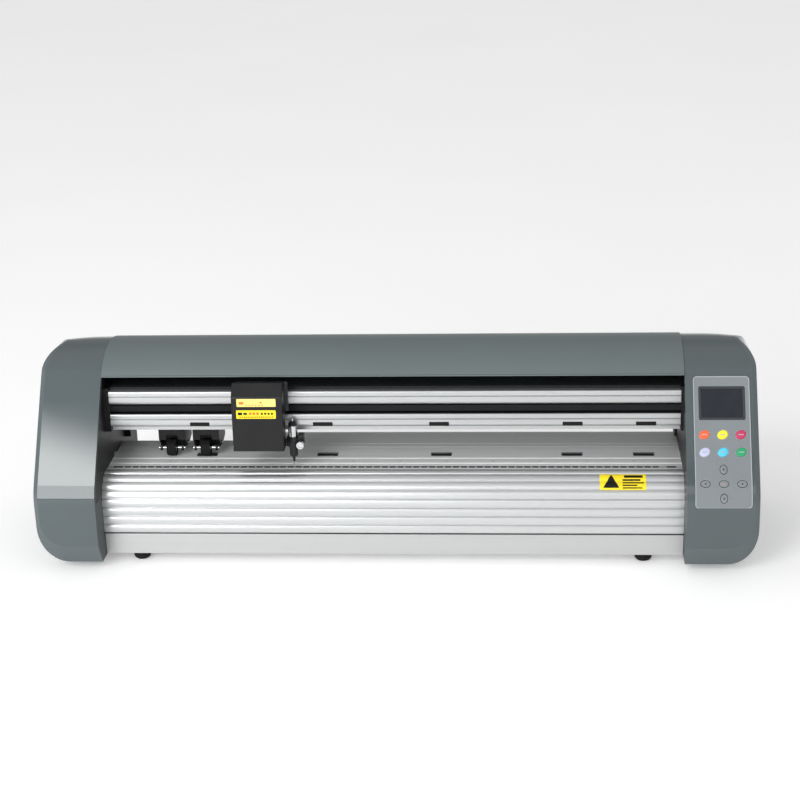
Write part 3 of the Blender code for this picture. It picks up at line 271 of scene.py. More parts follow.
# Near white for the raised ridges on the platen's top: a painted highlight along them.
drawn("ridge", (0.95, 0.95, 0.95), 0.3, 0.2, 0.004, 0.1, 0.03, 130.0)
drawn("sheet", (0.52, 0.525, 0.525), 0.45, 0.6, 0.003, 0.08, 0.03, 60.0)
surface("steel", (0.66, 0.67, 0.68), 0.22, 1.0, 1500.0, 0.004, 0.1, 0.06)
surface("black_plastic", (0.009, 0.009, 0.01), 0.38, grain=2600.0, depth=0.012, spread=0.08, amount=0.12,
        specular=0.35)
surface("cover_plastic", (0.007, 0.007, 0.008), 0.36, grain=2600.0, depth=0.01, spread=0.08, amount=0.12,
        specular=0.3)
surface("rubber", (0.008, 0.008, 0.008), 0.78, grain=1200.0, depth=0.03, spread=0.1, amount=0.2,
        specular=0.2)
surface("belt", (0.01, 0.011, 0.012), 0.75, grain=900.0, depth=0.03, spread=0.1, amount=0.2, specular=0.2)
surface("grit", (0.02, 0.02, 0.021), 0.7, 0.3, 2600.0, 0.06, 0.1, 0.3)
# Near black for the beam's channel and its top: painted shade on the aluminium in the recess and under the
# hood.
surface("channel", (0.01, 0.012, 0.013), 0.55, grain=1200.0, depth=0.01, stretch=LONG, spread=0.1,
        amount=0.15, specular=0.25)
surface("panel_grey", (0.193, 0.215, 0.226), 0.46, grain=3000.0, depth=0.006, spread=0.06, amount=0.03)
fine("panel_line", (0.37, 0.4, 0.415), 0.42, 0.04, 3000.0)
fine("enter_ink", (0.4, 0.21, 0.2), 0.5, 0.1, 3000.0)
fine("panel_ink", (0.05, 0.055, 0.06), 0.5, 0.1, 3000.0)
surface("screen", (0.01, 0.013, 0.02), 0.08, grain=400.0, depth=0.0004, spread=0.03, amount=0.2, cloud=40.0)
surface("bezel", (0.03, 0.034, 0.038), 0.4, grain=2600.0, depth=0.005, amount=0.1)
surface("board_green", (0.02, 0.15, 0.06), 0.5, grain=700.0, depth=0.02, amount=0.2, cloud=200.0)
surface("zinc", (0.6, 0.61, 0.62), 0.34, 0.95, 1500.0, 0.006, 0.12, 0.08, cloud=60.0)
fine("label_yellow", (0.9, 0.7, 0.01), 0.4, 0.04)
fine("label_pale", (0.86, 0.72, 0.2), 0.4, 0.05)
fine("label_orange", (0.8, 0.2, 0.02), 0.45, 0.1)
fine("label_ink", (0.006, 0.006, 0.006), 0.5, 0.2, specular=0.2)
surface("strip_base", (0.4, 0.41, 0.41), 0.5, grain=1500.0, depth=0.01, amount=0.06)
KEY_COLOURS = {
    "key_red": (0.86, 0.13, 0.045), "key_yellow": (0.92, 0.80, 0.03), "key_crimson": (0.50, 0.035, 0.11),
    "key_lavender": (0.52, 0.54, 0.74), "key_cyan": (0.08, 0.55, 0.78), "key_green": (0.02, 0.32, 0.13),
    "key_grey": (0.20, 0.225, 0.235)}
for key_slot, key_colour in KEY_COLOURS.items():
    surface(key_slot, key_colour, 0.36, grain=2500.0, depth=0.006, spread=0.06, amount=0.05, cloud=120.0)
FINISH["shell_grey"] = FINISH["shell"]
FINISH["hood_grey"] = FINISH["hood"]


# ---- mesh tools
def vertex(bm, axis, a, b, along):
    """A vertex from its place along an axis and its places on the two others."""
    place = [a, b]
    place.insert("XYZ".index(axis), along)
    return bm.verts.new(Vector(place) * MM)


def add_prism(bm, axis, outline, limits):
    """An outline in the two other axes, carried along an axis between two limits."""
    rings = [[vertex(bm, axis, a, b, level) for a, b in outline] for level in limits]
    bm.faces.new(rings[0])
    bm.faces.new(rings[1][::-1])
    for i in range(len(outline)):
        j = (i + 1) % len(outline)
        bm.faces.new((rings[0][j], rings[0][i], rings[1][i], rings[1][j]))
    return bm


def rectangle(a, b):
    return [(a[0], b[0]), (a[1], b[0]), (a[1], b[1]), (a[0], b[1])]


def add_block(bm, x, y, z):
    return add_prism(bm, "X", rectangle(y, z), x)


def stitch(bm, here, there, closed=True):
    """Quads between two rows with the same number of corners."""
    count = len(here)
    made = []
    for i in range(count if closed else count - 1):
        j = (i + 1) % count
        made.append(bm.faces.new((here[i], here[j], there[j], there[i])))
    return made


def prism(axis, outline, limits):
    return add_prism(bmesh.new(), axis, outline, limits)


def add_turned(bm, axis, centre, profile, steps=48, knurl=None):
    """A turned shape. profile is (radius, distance along the axis).

    knurl is (first, last, depth): profile points whose radius drops on every other step.
    """
    rings = []
    for step in range(steps):
        angle = 2 * pi * step / steps
        ring = []
        for index, (radius, along) in enumerate(profile):
            if knurl and step % 2 and knurl[0] <= index <= knurl[1]:
                radius -= knurl[2]
            ring.append(vertex(bm, axis, centre[0] + radius * cos(angle), centre[1] + radius * sin(angle),
                               along))
        rings.append(ring)
    for step in range(steps):
        stitch(bm, rings[step], rings[(step + 1) % steps], profile[0][0] > 0)
    return bm


def arc(centre, radii, start, end, count):
    points = []
    for i in range(count + 1):
        angle = radians(start + (end - start) * i / count)
        points.append((centre[0] + radii[0] * cos(angle), centre[1] + radii[1] * sin(angle)))
    return points


def bezier(p0, p1, p2, p3, count):
    points = []
    for i in range(count + 1):
        t = i / count
        weights = ((1 - t) ** 3, 3 * t * (1 - t) ** 2, 3 * t * t * (1 - t), t ** 3)
        points.append(tuple(sum(w * p[k] for w, p in zip(weights, (p0, p1, p2, p3))) for k in (0, 1)))
    return points


def offset(points, distance):
    """An open line moved sideways, to the right of its direction."""
    moved = []
    for i, here in enumerate(points):
        normals = []
        for a, b in ((i - 1, i), (i, i + 1)):
            if a < 0 or b > len(points) - 1:
                continue
            step = (Vector(points[b]) - Vector(points[a])).normalized()
            normals.append(Vector((step.y, -step.x)))
        mean = sum(normals, Vector((0, 0))).normalized()
        moved.append(tuple(Vector(here) + mean * distance / max(mean.dot(normals[0]), 0.3)))
    return moved


def rounded(x, y, radius, count=8):
    points = []
    for cx, cy, start in ((x[1] - radius, y[0] + radius, -90), (x[1] - radius, y[1] - radius, 0),
            (x[0] + radius, y[1] - radius, 90), (x[0] + radius, y[0] + radius, 180)):
        points += arc((cx, cy), (radius, radius), start, start + 90, count)
    return points


def rotated(u, v, turn):
    return u * cos(turn) - v * sin(turn), u * sin(turn) + v * cos(turn)


def ellipse(centre, radii, turn=0.0, count=40):
    points = []
    for i in range(count):
        angle = 2 * pi * i / count
        u, v = rotated(radii[0] * cos(angle), radii[1] * sin(angle), turn)
        points.append((centre[0] + u, centre[1] + v))
    return points


def as_mesh(bm, name="shape", tidy=True):
    if tidy:
        bmesh.ops.remove_doubles(bm, verts=bm.verts, dist=MERGE)
        bmesh.ops.recalc_face_normals(bm, faces=bm.faces)
    mesh = bpy.data.meshes.new(name)
    bm.to_mesh(mesh)
    bm.free()
    return mesh


# A cut keeps the finish numbers of faces only if both meshes have that many materials
CARVE_SLOTS = [bpy.data.materials.new("carve_%d" % index) for index in range(4)]


def modify(obj, kind, **settings):
    set_all(obj.modifiers.new(kind.lower(), kind), settings)


def carve(bm, cutter):
    """One exact cut of a mesh by another, as a new bmesh that keeps its faces' finish numbers."""
    pair = []
    for part in (bm, cutter):
        mesh = as_mesh(part)
        for slot in CARVE_SLOTS:
            mesh.materials.append(slot)
        pair.append(add_object("carving", mesh))
    modify(pair[0], "BOOLEAN", operation="DIFFERENCE", object=pair[1], solver="EXACT")
    bpy.context.view_layer.update()
    graph = bpy.context.evaluated_depsgraph_get()
    mesh = bpy.data.meshes.new_from_object(pair[0].evaluated_get(graph))
    made = bmesh.new()
    made.from_mesh(mesh)
    for obj in pair:
        bpy.data.objects.remove(obj, do_unlink=True)
    return made


def flatten(bm, angle):
    """Merge faces that lie in one plane."""
    bmesh.ops.remove_doubles(bm, verts=bm.verts, dist=MERGE)
    bmesh.ops.dissolve_limit(bm, angle_limit=radians(angle), verts=bm.verts, edges=bm.edges)
    return bm


def piece(bm, name, body, finish, stands_for=None, slot=None, bevel=0.0, segments=2, smooth=32.0, tint=None,
        edge=-1):
    """Make a shown piece: rounded edges, smooth shading, its finish and the body it rides on.

    tint, if given, takes a face's centre in millimetres and returns the index of its finish.
    edge, if given, is the index of the rounded edges' finish.
    slot is not used: it is worked out, from the CAD node it stands for or else the first finish, and then
    dropped.
    """
    mesh = as_mesh(bm, name)
    finishes = finish if isinstance(finish, (list, tuple)) else (finish,)
    for each in finishes:
        mesh.materials.append(FINISH[each])
    if tint:
        for face_ in mesh.polygons:
            face_.material_index = tint(face_.center / MM)
    mesh.shade_smooth()
    mesh.set_sharp_from_angle(angle=radians(smooth))
    obj = add_object(name, mesh)
    if bevel:
        modify(obj, "BEVEL", width=bevel * MM, segments=segments, material=edge, limit_method="ANGLE",
               angle_limit=radians(30.0), use_clamp_overlap=True, miter_outer="MITER_ARC")
    modify(obj, "WEIGHTED_NORMAL", keep_sharp=True)
    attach(obj, body)
    if stands_for:
        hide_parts(stands_for)
    slot or (SLOTS[stands_for] if stands_for else finishes[0])
    return obj


def refine(cad_node, finish=None, bevel=0.35, segments=2):
    """The CAD node's own shape, with rounded edges and a detailed finish."""
    source = frame["nodes"][cad_node]
    bm = bmesh.new()
    bm.from_mesh(source.data)
    flatten(bm, 0.8)
    return piece(bm, cad_node + "_finished", source["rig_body"], finish or SLOTS[cad_node], cad_node,
            bevel=bevel, segments=segments)


def repaint(cad_node, finish=None):
    """A CAD node shown as it is, with a detailed finish."""
    obj = frame["nodes"][cad_node]
    obj.data.materials.clear()
    obj.data.materials.append(FINISH[finish or SLOTS[cad_node]])


# ---- the covers' surface
def face(s):
    """The front face at a distance s below the eave: Y, Z and lean from vertical."""
    straight = min(s, FACE_STRAIGHT)
    y = EAVE_Y - straight * sin(FACE_LEAN)
    z = EAVE_Z - straight * cos(FACE_LEAN)
    lean = FACE_LEAN - min(max(s - FACE_STRAIGHT, 0.0) / BEND_RADIUS, FACE_LEAN)
    y += BEND_RADIUS * (cos(FACE_LEAN) - cos(lean))
    z += BEND_RADIUS * (sin(lean) - sin(FACE_LEAN))
    return y, z, lean


def roof_line(count=24):
    """From the eave over the ridge to the top of the back."""
    eave, ridge = (EAVE_Y, EAVE_Z), (RIDGE_Y, RIDGE_Z)
    front = bezier(eave, (EAVE_Y + 12.5, EAVE_Z + 18.2), (RIDGE_Y - 25, RIDGE_Z), ridge, count)
    rear = bezier(ridge, (RIDGE_Y + 37, RIDGE_Z), (BACK_Y, 236.0), (BACK_Y, BACK_TOP_Z), count)
    return front, rear


def skin_lines(inset):
    """Front and back of a cover's section as (Z, Y) tables, moved inwards."""
    front_roof, rear_roof = roof_line()
    front = [(face(BEND_END)[0], 0.0)]
    front += [face(BEND_END + (FACE_STRAIGHT - BEND_END) * i / 16)[:2] for i in range(17)]
    front += front_roof
    rear = rear_roof + [(BACK_Y, 0.0)]
    lines = []
    for line in (front, rear):
        moved = offset(line, inset) if inset else line
        moved = sorted((z, y) for y, z in moved)
        lines.append(([z for z, y in moved], [y for z, y in moved]))
    return lines


def depth_at(line, z):
    """Y on a front or back line at a height."""
    return float(np.interp(z, *line))


def cover_outlines(end, inset):
    """Matching points round a cover's end seen from the front: crease and outer edge.

    Each is (x, z, x_outer, z_outer, share, fade): share is 0 under the cover and 1 at its side,
    and fade is 1 round the side and 0 on top, where the rim runs out.
    """
    side = copysign(1.0, end)
    a, b = CORNER_LOW
    ra, rb = RIM_CORNER
    points = []
    for i in range(13):
        angle = radians(-90 + 90 * i / 12)
        share = i / 12
        points.append((end - side * a + side * (ra - inset * share) * cos(angle),
                LIP_Z + rb + rb * sin(angle), end - side * a + side * (a - inset) * cos(angle),
                COVER_LOW + b + (b - inset) * sin(angle), share * share * (3 - 2 * share), 1.0))
    arc_z = RIDGE_Z - CORNER_TOP
    first, first_outer = LIP_Z + rb, COVER_LOW + b
    for z in side_levels(first, arc_z):
        portion = (z - first) / (arc_z - first)
        points.append((end - side * (RIM + inset), z, end - side * inset,
                first_outer + (arc_z - first_outer) * portion, 1.0, 1.0))
    for i in range(17):
        degrees = 90 * i / 16
        angle = radians(degrees)
        rim = RIM * (1 - (degrees / 90) ** 2)
        outer = CORNER_TOP - inset
        points.append((end - side * CORNER_TOP + side * (outer - rim) * cos(angle),
                arc_z + (outer - rim) * sin(angle), end - side * CORNER_TOP + side * outer * cos(angle),
                arc_z + outer * sin(angle), 1.0, 1.0 - degrees / 90))
    return points


def side_levels(low, high):
    """Heights of the rows between the two corners, close together round the bend."""
    bend_low, bend_high = face(BEND_END)[1], face(FACE_STRAIGHT)[1]
    levels = [bend_low + (bend_high - bend_low) * i / 14 for i in range(15)]
    levels += [bend_low - 2.0, bend_high + 2.0]
    levels += [bend_high + 12.0 * i for i in range(1, 9)]
    return sorted(z for z in levels if low + 1.0 < z < high - 1.0)


def cover_solid(end, inner, inset):
    """A cover's outer shape, or with an inset the space inside it."""
    side = copysign(1.0, end)
    front, rear = skin_lines(inset)
    outlines = cover_outlines(end, inset)
    shallow = end - side * (max(CORNER_TOP, CORNER_LOW[0]) + 4.0)
    fixed = [inner + (shallow - inner) * i / 3 for i in range(4)]
    bm = bmesh.new()
    grids = []
    for line, sign in ((front, 1.0), (rear, -1.0)):
        deep = LIP_Y - depth_at(line, LIP_Z) if sign > 0 else BACK_CHAMFER
        shallow_depth = RIM_DEPTH if sign > 0 else 3.0
        rows, outer = [], []
        for x, z, ox, oz, share, fade in outlines:
            y = depth_at(line, z)
            columns = fixed + [shallow + (x - shallow) * i / 3 for i in (1, 2, 3)]
            rows.append([bm.verts.new(Vector((c, y, z)) * MM) for c in columns])
            drop = (shallow_depth * share + deep * (1 - share)) * fade
            far = depth_at(line, oz) + sign * drop
            outer.append(bm.verts.new(Vector((ox, far, oz)) * MM))
        start = outlines[0]
        corner_y = depth_at(line, start[3]) + sign * deep
        first = bm.verts.new(Vector((inner, corner_y, start[3])) * MM)
        for low_row, high_row in zip(rows, rows[1:]):
            stitch(bm, low_row, high_row, closed=False)
        # Rim band faces take finish 1, lighter as a painted sheen.
        for i in range(len(rows) - 1):
            bm.faces.new((rows[i][-1], outer[i], outer[i + 1], rows[i + 1][-1])).material_index = 1
        bm.faces.new(rows[0] + [outer[0], first]).material_index = 1
        grids.append((rows, outer, first))
    (rows_f, outer_f, first_f), (rows_r, outer_r, first_r) = grids
    for i in range(len(outer_f) - 1):
        bm.faces.new((outer_f[i], outer_r[i], outer_r[i + 1], outer_f[i + 1]))
    bm.faces.new((first_f, first_r, outer_r[0], outer_f[0]))
    # The caps on the inner side take finish 2, darker as painted shade.
    for i in range(len(rows_f) - 1):
        cap = (rows_f[i][0], rows_f[i + 1][0], rows_r[i + 1][0], rows_r[i][0])
        bm.faces.new(cap).material_index = 2
    bm.faces.new((first_f, rows_f[0][0], rows_r[0][0], first_r)).material_index = 2
    bmesh.ops.remove_doubles(bm, verts=bm.verts, dist=0.01 * MM)
    bmesh.ops.dissolve_degenerate(bm, edges=bm.edges, dist=0.01 * MM)
    for vert in bm.verts:
        vert.co.z -= rear_drop(abs(vert.co.x / MM) - abs(end), vert.co.y / MM, vert.co.z / MM) * MM
    return bm


def rear_drop(from_end, y, z):
    """How far the upper rear corner of a cover sinks: most at its very end."""
    outward = min(max(1.0 + from_end / 60.0, 0.0), 1.0)
    backward = min(max((y - RIDGE_Y) / 80.0, 0.0), 1.0)
    upward = min(max((z - 170.0) / 60.0, 0.0), 1.0)
    return REAR_DROP * outward ** 2 * backward * upward


def window_outline():
    """The opening in a cover's inner side, where the steel side plate sits."""
    inset = 7.5
    (front_z, front_y), (rear_z, rear_y) = skin_lines(inset)
    base_front = span("base_tray", 1)[0]
    step_z, low = 92.0, COVER_LOW + 6.0
    front, chin = base_front - 6.0 + inset, base_front - 35.0 + inset
    upper = [(y, z) for z, y in zip(front_z, front_y) if z > step_z + 1.0]
    upper += [(y, z) for z, y in list(zip(rear_z, rear_y))[::-1] if z > step_z][1:]
    return [(front, low), (front, step_z), (chin, step_z)] + upper + [(BACK_Y - inset, 30.0),
            (BACK_Y - 14.0, low)]


def build_cover(cad_node, end, inner):
    side = copysign(1.0, end)
    inside = cover_solid(end, inner + side * 3.0, COVER_WALL)
    # The inside faces take finish 2, darker as painted shade.
    for each in inside.faces:
        each.material_index = 2
    bm = carve(cover_solid(end, inner, 0.0), inside)
    bm = carve(bm, prism("X", window_outline(), sorted((inner - side * 5.0, inner + side * 8.0))))
    if side > 0:
        bm = carve(bm, flat_plate(PANEL_X, PANEL_S, 5.0, PANEL_PROUD - PANEL_THICK - GAP, 3.0, GAP))
        bm = carve(bm, flat_plate(WINDOW_X, WINDOW_S, 2.0, -12.0, 1.0, GAP))
        holes = bmesh.new()
        for x, z in REAR_HOLES:
            add_block(holes, (x[0] - GAP, x[1] + GAP), (BACK_Y - 10.0, BACK_Y + 10.0), (z[0] - GAP,
                    z[1] + GAP))
        bm = carve(bm, holes)
    # Finishes by face: plastic, rim band with a painted sheen, inner sides and insides with painted shade,
    # rounded edges with a painted highlight.
    piece(bm, cad_node + "_shell", "frame", ("shell", "shell_rim_painted_sheen", "shell_side_painted_shade", "shell_edge_painted_highlight"),
            cad_node, bevel=0.6, smooth=18.0, edge=3)


def flat_plate(x, s, radius, low, high, grow=0.0):
    """A rounded plate laid on the front face, from X, distance down and height."""
    outline = rounded((x[0] - grow, x[1] + grow), (-s[1] - grow, -s[0] + grow), radius)
    return wrap(prism("Z", outline, (low, high)))


def wrap(bm):
    """Lay a flat shape on the covers' bent front face."""
    for i in range(13):
        s = FACE_STRAIGHT + BEND_RADIUS * FACE_LEAN * i / 12
        parts = list(bm.verts) + list(bm.edges) + list(bm.faces)
        bmesh.ops.bisect_plane(bm, geom=parts, plane_co=(0, -s * MM, 0), plane_no=(0, 1, 0))
    for vert in bm.verts:
        x, down, height = vert.co.x, -vert.co.y / MM, vert.co.z / MM
        y, z, lean = face(down)
        vert.co = (x, (y - height * cos(lean)) * MM, (z + height * sin(lean)) * MM)
    return bm


# ---- frame pieces
def build_hood():
    """Bent sheet over the beam, with its front hem folded back."""
    front, rear = roof_line()
    outer = offset(front + rear[1:], -HOOD_PROUD)
    outer.append((BACK_Y + HOOD_PROUD, 160.0))
    inner = offset(outer, HOOD_THICK)
    hem_y, hem_z = EAVE_Y + 14.0, inner[0][1] + 1.0
    hem = [(inner[0][0] + 2.0, hem_z), (hem_y, hem_z), (hem_y, outer[0][1] + 1.2)]
    nose = arc((outer[0][0] + 0.2, outer[0][1] + 1.1), (0.9, 0.9), -80, -230, 8)
    bm = prism("X", outer[1:] + inner[:0:-1] + hem + nose, (OPEN_LEFT + GAP, OPEN_RIGHT - GAP))
    piece(bm, "top_hood_sheet", "frame", "hood", "top_hood", bevel=0.25, smooth=25.0)


APRON_BEND = APRON_RADIUS * pi / 2
APRON_LENGTH = APRON_BEND + (PLATEN_TOP - APRON_RADIUS - APRON_FOOT_Z)
RIB_PITCH = APRON_LENGTH / APRON_RIDGES


def apron_point(distance, lift):
    """A point on the apron: distance along it from its start, lift above it."""
    turn = min(distance, APRON_BEND) / APRON_RADIUS
    reach = APRON_RADIUS + lift
    y = APRON_START_Y - reach * sin(turn)
    z = PLATEN_TOP - APRON_RADIUS + reach * cos(turn)
    return y, z - max(distance - APRON_BEND, 0.0)


def rib_lift(t):
    """Height of a rib at a share t of its pitch, with sharp grooves between ribs."""
    return 2.2 * sqrt(max(1.0 - abs(2.0 * t - 1.0) ** 2.2, 0.0))


def apron_line(start, end, raise_by=0.0, steps=10):
    """The ribbed surface between two distances, both counted in ribs."""
    points = []
    count = int(round((end - start) * steps))
    for i in range(count + 1):
        t = start + (end - start) * i / count
        points.append(apron_point(t * RIB_PITCH, rib_lift(t % 1.0) + raise_by))
    return points


def build_platen():
    """Extruded platen: grooves and raised ridges on top, then the ribbed apron."""
    top = PLATEN_TOP
    outer = [(PLATEN_REAR, top)]
    for y in (22.0, 34.0):
        outer[1:1] = [(y + 0.5, top), (y, top - 0.5), (y - 0.5, top)]
    for y in (-16.5, -33.5):
        outer += [(y + 2.3, top), (y + 1.6, top + 0.5), (y + 0.8, top + 0.7), (y - 0.8, top + 0.7),
                (y - 1.6, top + 0.5), (y - 2.3, top)]
    half = 3.0
    outer += [(STRIP_Y + half, top), (STRIP_Y + half, top - 1.2), (STRIP_Y - half, top - 1.2),
            (STRIP_Y - half, top)]
    outer += apron_line(0.0, APRON_RIDGES)
    inner = [(PLATEN_REAR, top - PLATEN_THICK), (-40.0, top - PLATEN_THICK), (-42.0, top - APRON_THICK)]
    inner += [apron_point(APRON_LENGTH * i / 12, -APRON_THICK) for i in range(13)]
    slots = bmesh.new()
    for x in GRIT_X:
        add_prism(slots, "Z", rounded((x - SLOT_LENGTH / 2, x + SLOT_LENGTH / 2),
                (SHAFT_Y - SLOT_WIDTH / 2, SHAFT_Y + SLOT_WIDTH / 2), 1.5, 4), (top - 10.0, top + 10.0))
    bm = prism("X", outer + inner[::-1], (OPEN_LEFT + GAP, OPEN_RIGHT - GAP))

    # Flat top faces take finish 1, lighter as painted light; the raised ridges take finish 2, near white as
    # a painted highlight.
    def tint(centre):
        if centre.y < APRON_START_Y or centre.z < top - 0.3:
            return 0
        return 2 if centre.z > top + 0.1 else 1

    piece(carve(bm, slots), "platen_ribbed", "frame", ("platen", "platen_top_painted_light", "ridge"), "platen",
          smooth=28.0, tint=tint)


def build_platen_screws():
    """Flush screws that hold the platen down, in one row ahead of the grit rollers."""
    bm = bmesh.new()
    pitch, row_y = 59.3, -26.8
    first = 4.2 - 6 * pitch
    for i in range(13):
        x = first + pitch * i
        if OPEN_LEFT + 12.0 < x < OPEN_RIGHT - 12.0:
            add_turned(bm, "Z", (x, row_y), [(0.0, PLATEN_TOP + 0.02), (0.6, PLATEN_TOP + 0.02), (0.8,
                    PLATEN_TOP + 0.2), (1.2, PLATEN_TOP + 0.18), (1.5, PLATEN_TOP - 0.1), (0.0,
                    PLATEN_TOP - 0.3)], 20)
    piece(bm, "platen_screws", "frame", "zinc")


def build_cutting_strip():
    """Pale strip with a row of black dashes and a longer dash at each end."""
    left, right = span("cutting_strip", 0)
    half = 2.7
    low = STRIP_TOP - 0.9
    bm = add_block(bmesh.new(), (left, right), (STRIP_Y - half, STRIP_Y + half), (low, STRIP_TOP))
    piece(bm, "cutting_strip_base", "frame", "strip_base", "cutting_strip", bevel=0.15)
    dashes = bmesh.new()
    pitch, dash, end_dash = 10.0, 7.8, 12.0
    spans = [(left, left + end_dash), (right - end_dash, right)]
    x = left + end_dash + 2.5
    while x + dash < right - end_dash - 2.0:
        spans.append((x, x + dash))
        x += pitch
    for x_span in spans:
        add_prism(dashes, "Z", rounded(x_span, (STRIP_Y - half + 0.5, STRIP_Y + half - 0.5), 0.6,
                2), (STRIP_TOP - 0.3, STRIP_TOP + 0.15))
    piece(dashes, "cutting_strip_dashes", "frame", "rubber")


def rail_line(low, high):
    """One rail from its bottom to its top: rounded nose, sharp groove, drawn-in foot."""
    middle = low + (high - low) * 0.60
    front, back = RAIL_FRONT, RAIL_BACK + 3.0
    points = [(back, low), (front + 4.0, low)]
    points += arc((front + 4.0, low + 4.5), (4.0, 4.5), 270, 180, 6)[1:]
    points += [(front, middle - 1.0), (front + 0.3, middle - 0.6), (front + 1.4, middle), (front + 0.3,
            middle + 0.6), (front, middle + 1.0)]
    points += arc((front + 2.2, high - 2.2), (2.2, 2.2), 180, 90, 5)
    points.append((back, high))
    return points


def build_beam():
    """Extruded guide beam: two bright rails and the dark channel between them."""
    outline = [(RAIL_BACK, BEAM_LOW), (RAIL_BACK, LOWER_RAIL[0])] + rail_line(*LOWER_RAIL)[1:-1]
    outline += [(RAIL_BACK, LOWER_RAIL[1]), (CHANNEL_REAR, LOWER_RAIL[1]), (CHANNEL_REAR, UPPER_RAIL[0]),
            (RAIL_BACK, UPPER_RAIL[0])]
    outline += rail_line(*UPPER_RAIL)[1:-1] + [(RAIL_BACK, UPPER_RAIL[1]), (RAIL_BACK, BEAM_HIGH),
            (BEAM_REAR, BEAM_HIGH), (BEAM_REAR, BEAM_LOW)]
    bm = prism("X", outline, (BEAM_LEFT, BEAM_RIGHT))

    # Faces in the channel and on the beam's top take the near-black channel finish, as painted shade.
    def tint(centre):
        inside = LOWER_RAIL[1] - 0.1 < centre.z < UPPER_RAIL[0] + 0.1
        inside = inside and centre.y < CHANNEL_REAR + 1.0 and abs(centre.x) < 100.0
        return 1 if inside or centre.z > UPPER_RAIL[1] + 0.1 else 0

    piece(bm, "guide_beam_rails", "frame", ("aluminium", "channel"), "guide_beam", smooth=28.0,
            tint=tint)
    marks = bmesh.new()
    for x in GRIT_X:
        outline = rounded((x - 12.5, x + 12.5), (166.0, 171.2), 0.8, 3)
        add_prism(marks, "Y", outline, (RAIL_FRONT - 0.15, RAIL_FRONT + 1.2))
    piece(marks, "beam_marks", "frame", "label_ink", slot="black_plastic")


def build_rear_apron():
    top = PLATEN_TOP - 0.4
    outer = [(PLATEN_REAR + 0.8, top), (72.0, top)]
    outer += arc((72.0, top - 30.0), (30.0, 30.0), 90, 0, 20)[1:]
    outer.append((102.0, 62.0))
    inner = offset(outer, REAR_APRON_THICK)
    bm = prism("X", outer + inner[::-1], span("rear_apron", 0))
    # The rear apron takes the platen top's lighter finish, as painted light.
    piece(bm, "rear_apron_sheet", "frame", "platen_top_painted_light", "rear_apron", bevel=0.2, smooth=25.0)


def build_feet():
    for corner in ("front_left", "front_right", "rear_left", "rear_right"):
        cad_node = "foot_" + corner
        place = middle_of(cad_node)[:2]
        profile = [(0.0, FOOT_TOP), (10.8, FOOT_TOP), (11.0, FOOT_TOP - 0.4), (11.0, 6.4)]
        profile += arc((5.5, 5.6), (5.4, 5.6), 10, -80, 8) + [(4.0, 0.0), (3.4, 0.8), (0.0, 0.8)]
        bm = add_turned(bmesh.new(), "Z", place, profile, 40)
        piece(bm, cad_node + "_moulded", "frame", "rubber", cad_node)


# ---- labels
def add_bars(bm, axis_limits, bars):
    """Small raised marks on an upright label: each bar is (x limits, z limits)."""
    for x, z in bars:
        add_prism(bm, "Y", rounded(x, z, min(x[1] - x[0], z[1] - z[0]) * 0.25, 2), axis_limits)
    return bm


def lean_back(bm):
    """Tilt a shape made upright at the carriage cover's front so that it follows its lean."""
    low = span("carriage_cover", 2)[0]
    for vert in bm.verts:
        vert.co.y += CARRIAGE_LEAN * (vert.co.z - low * MM)
    return bm


def build_carriage_labels():
    """Two plain labels on the carriage cover, with shapes that say nothing."""
    front = span("carriage_cover", 1)[0]
    sheet = (front - 0.12, front + 0.3)
    ink = (front - 0.2, front + 0.2)
    upper, lower = ((-193.4, -144.4), (204.2, 214.4)), ((-194.5, -144.8), (188.6, 199.6))
    for name, finish, (x, z) in (("upper", "label_pale", upper), ("lower", "label_yellow", lower)):
        bm = lean_back(prism("Y", rounded(x, z, 0.8, 3), sheet))
        piece(bm, "carriage_label_" + name, "carriage", finish, slot="key_yellow")
    x0, z0 = lower[0][0], lower[1][0]
    black = [((x0 + 2.0, x0 + 7.6), (z0 + 4.6, z0 + 8.2)), ((x0 + 9.0, x0 + 13.6), (z0 + 5.0, z0 + 7.8))]
    black += [((x0 + 31 + 4.2 * i, x0 + 33.6 + 4.2 * i), (z0 + 5.2, z0 + 7.8)) for i in range(4)]
    black += [((x0 + 4 + 2.7 * i, x0 + 5.7 + 2.7 * i), (z0 + 1.6, z0 + 2.8)) for i in range(16)]
    piece(lean_back(add_bars(bmesh.new(), ink, black)), "carriage_label_marks", "carriage", "label_ink",
            slot="black_plastic")
    orange = [((x0 + 16 + 4.6 * i, x0 + 19.4 + 4.6 * i), (z0 + 4.8, z0 + 8.4)) for i in range(3)]
    z1 = upper[1][0]
    orange += [((x0 + 4, x0 + 10), (z1 + 3.0, z1 + 6.6)), ((x0 + 30, x0 + 33), (z1 + 4.4, z1 + 6.4))]
    orange += [((x0 + 12 + 4 * i, x0 + 14.4 + 4 * i), (z1 + 1.6, z1 + 2.8)) for i in range(6)]
    piece(lean_back(add_bars(bmesh.new(), ink, orange)), "carriage_label_blocks", "carriage",
            "label_orange", slot="key_red")


def add_apron_patch(bm, left, right, start, end, low, high):
    """A thin patch that follows the ribs. left and right give X for a share of its length."""
    bottom, top = apron_line(start, end, low), apron_line(start, end, high)
    count = len(top)
    rows = []
    for i in range(count):
        share = i / (count - 1)
        row = [bm.verts.new(Vector((x, *point)) * MM) for x, point in ((left(share), bottom[i]),
                (right(share), bottom[i]), (right(share), top[i]), (left(share), top[i]))]
        rows.append(row)
    for here, there in zip(rows, rows[1:]):
        stitch(bm, here, there)
    bm.faces.new(rows[0])
    bm.faces.new(rows[-1][::-1])
    return bm


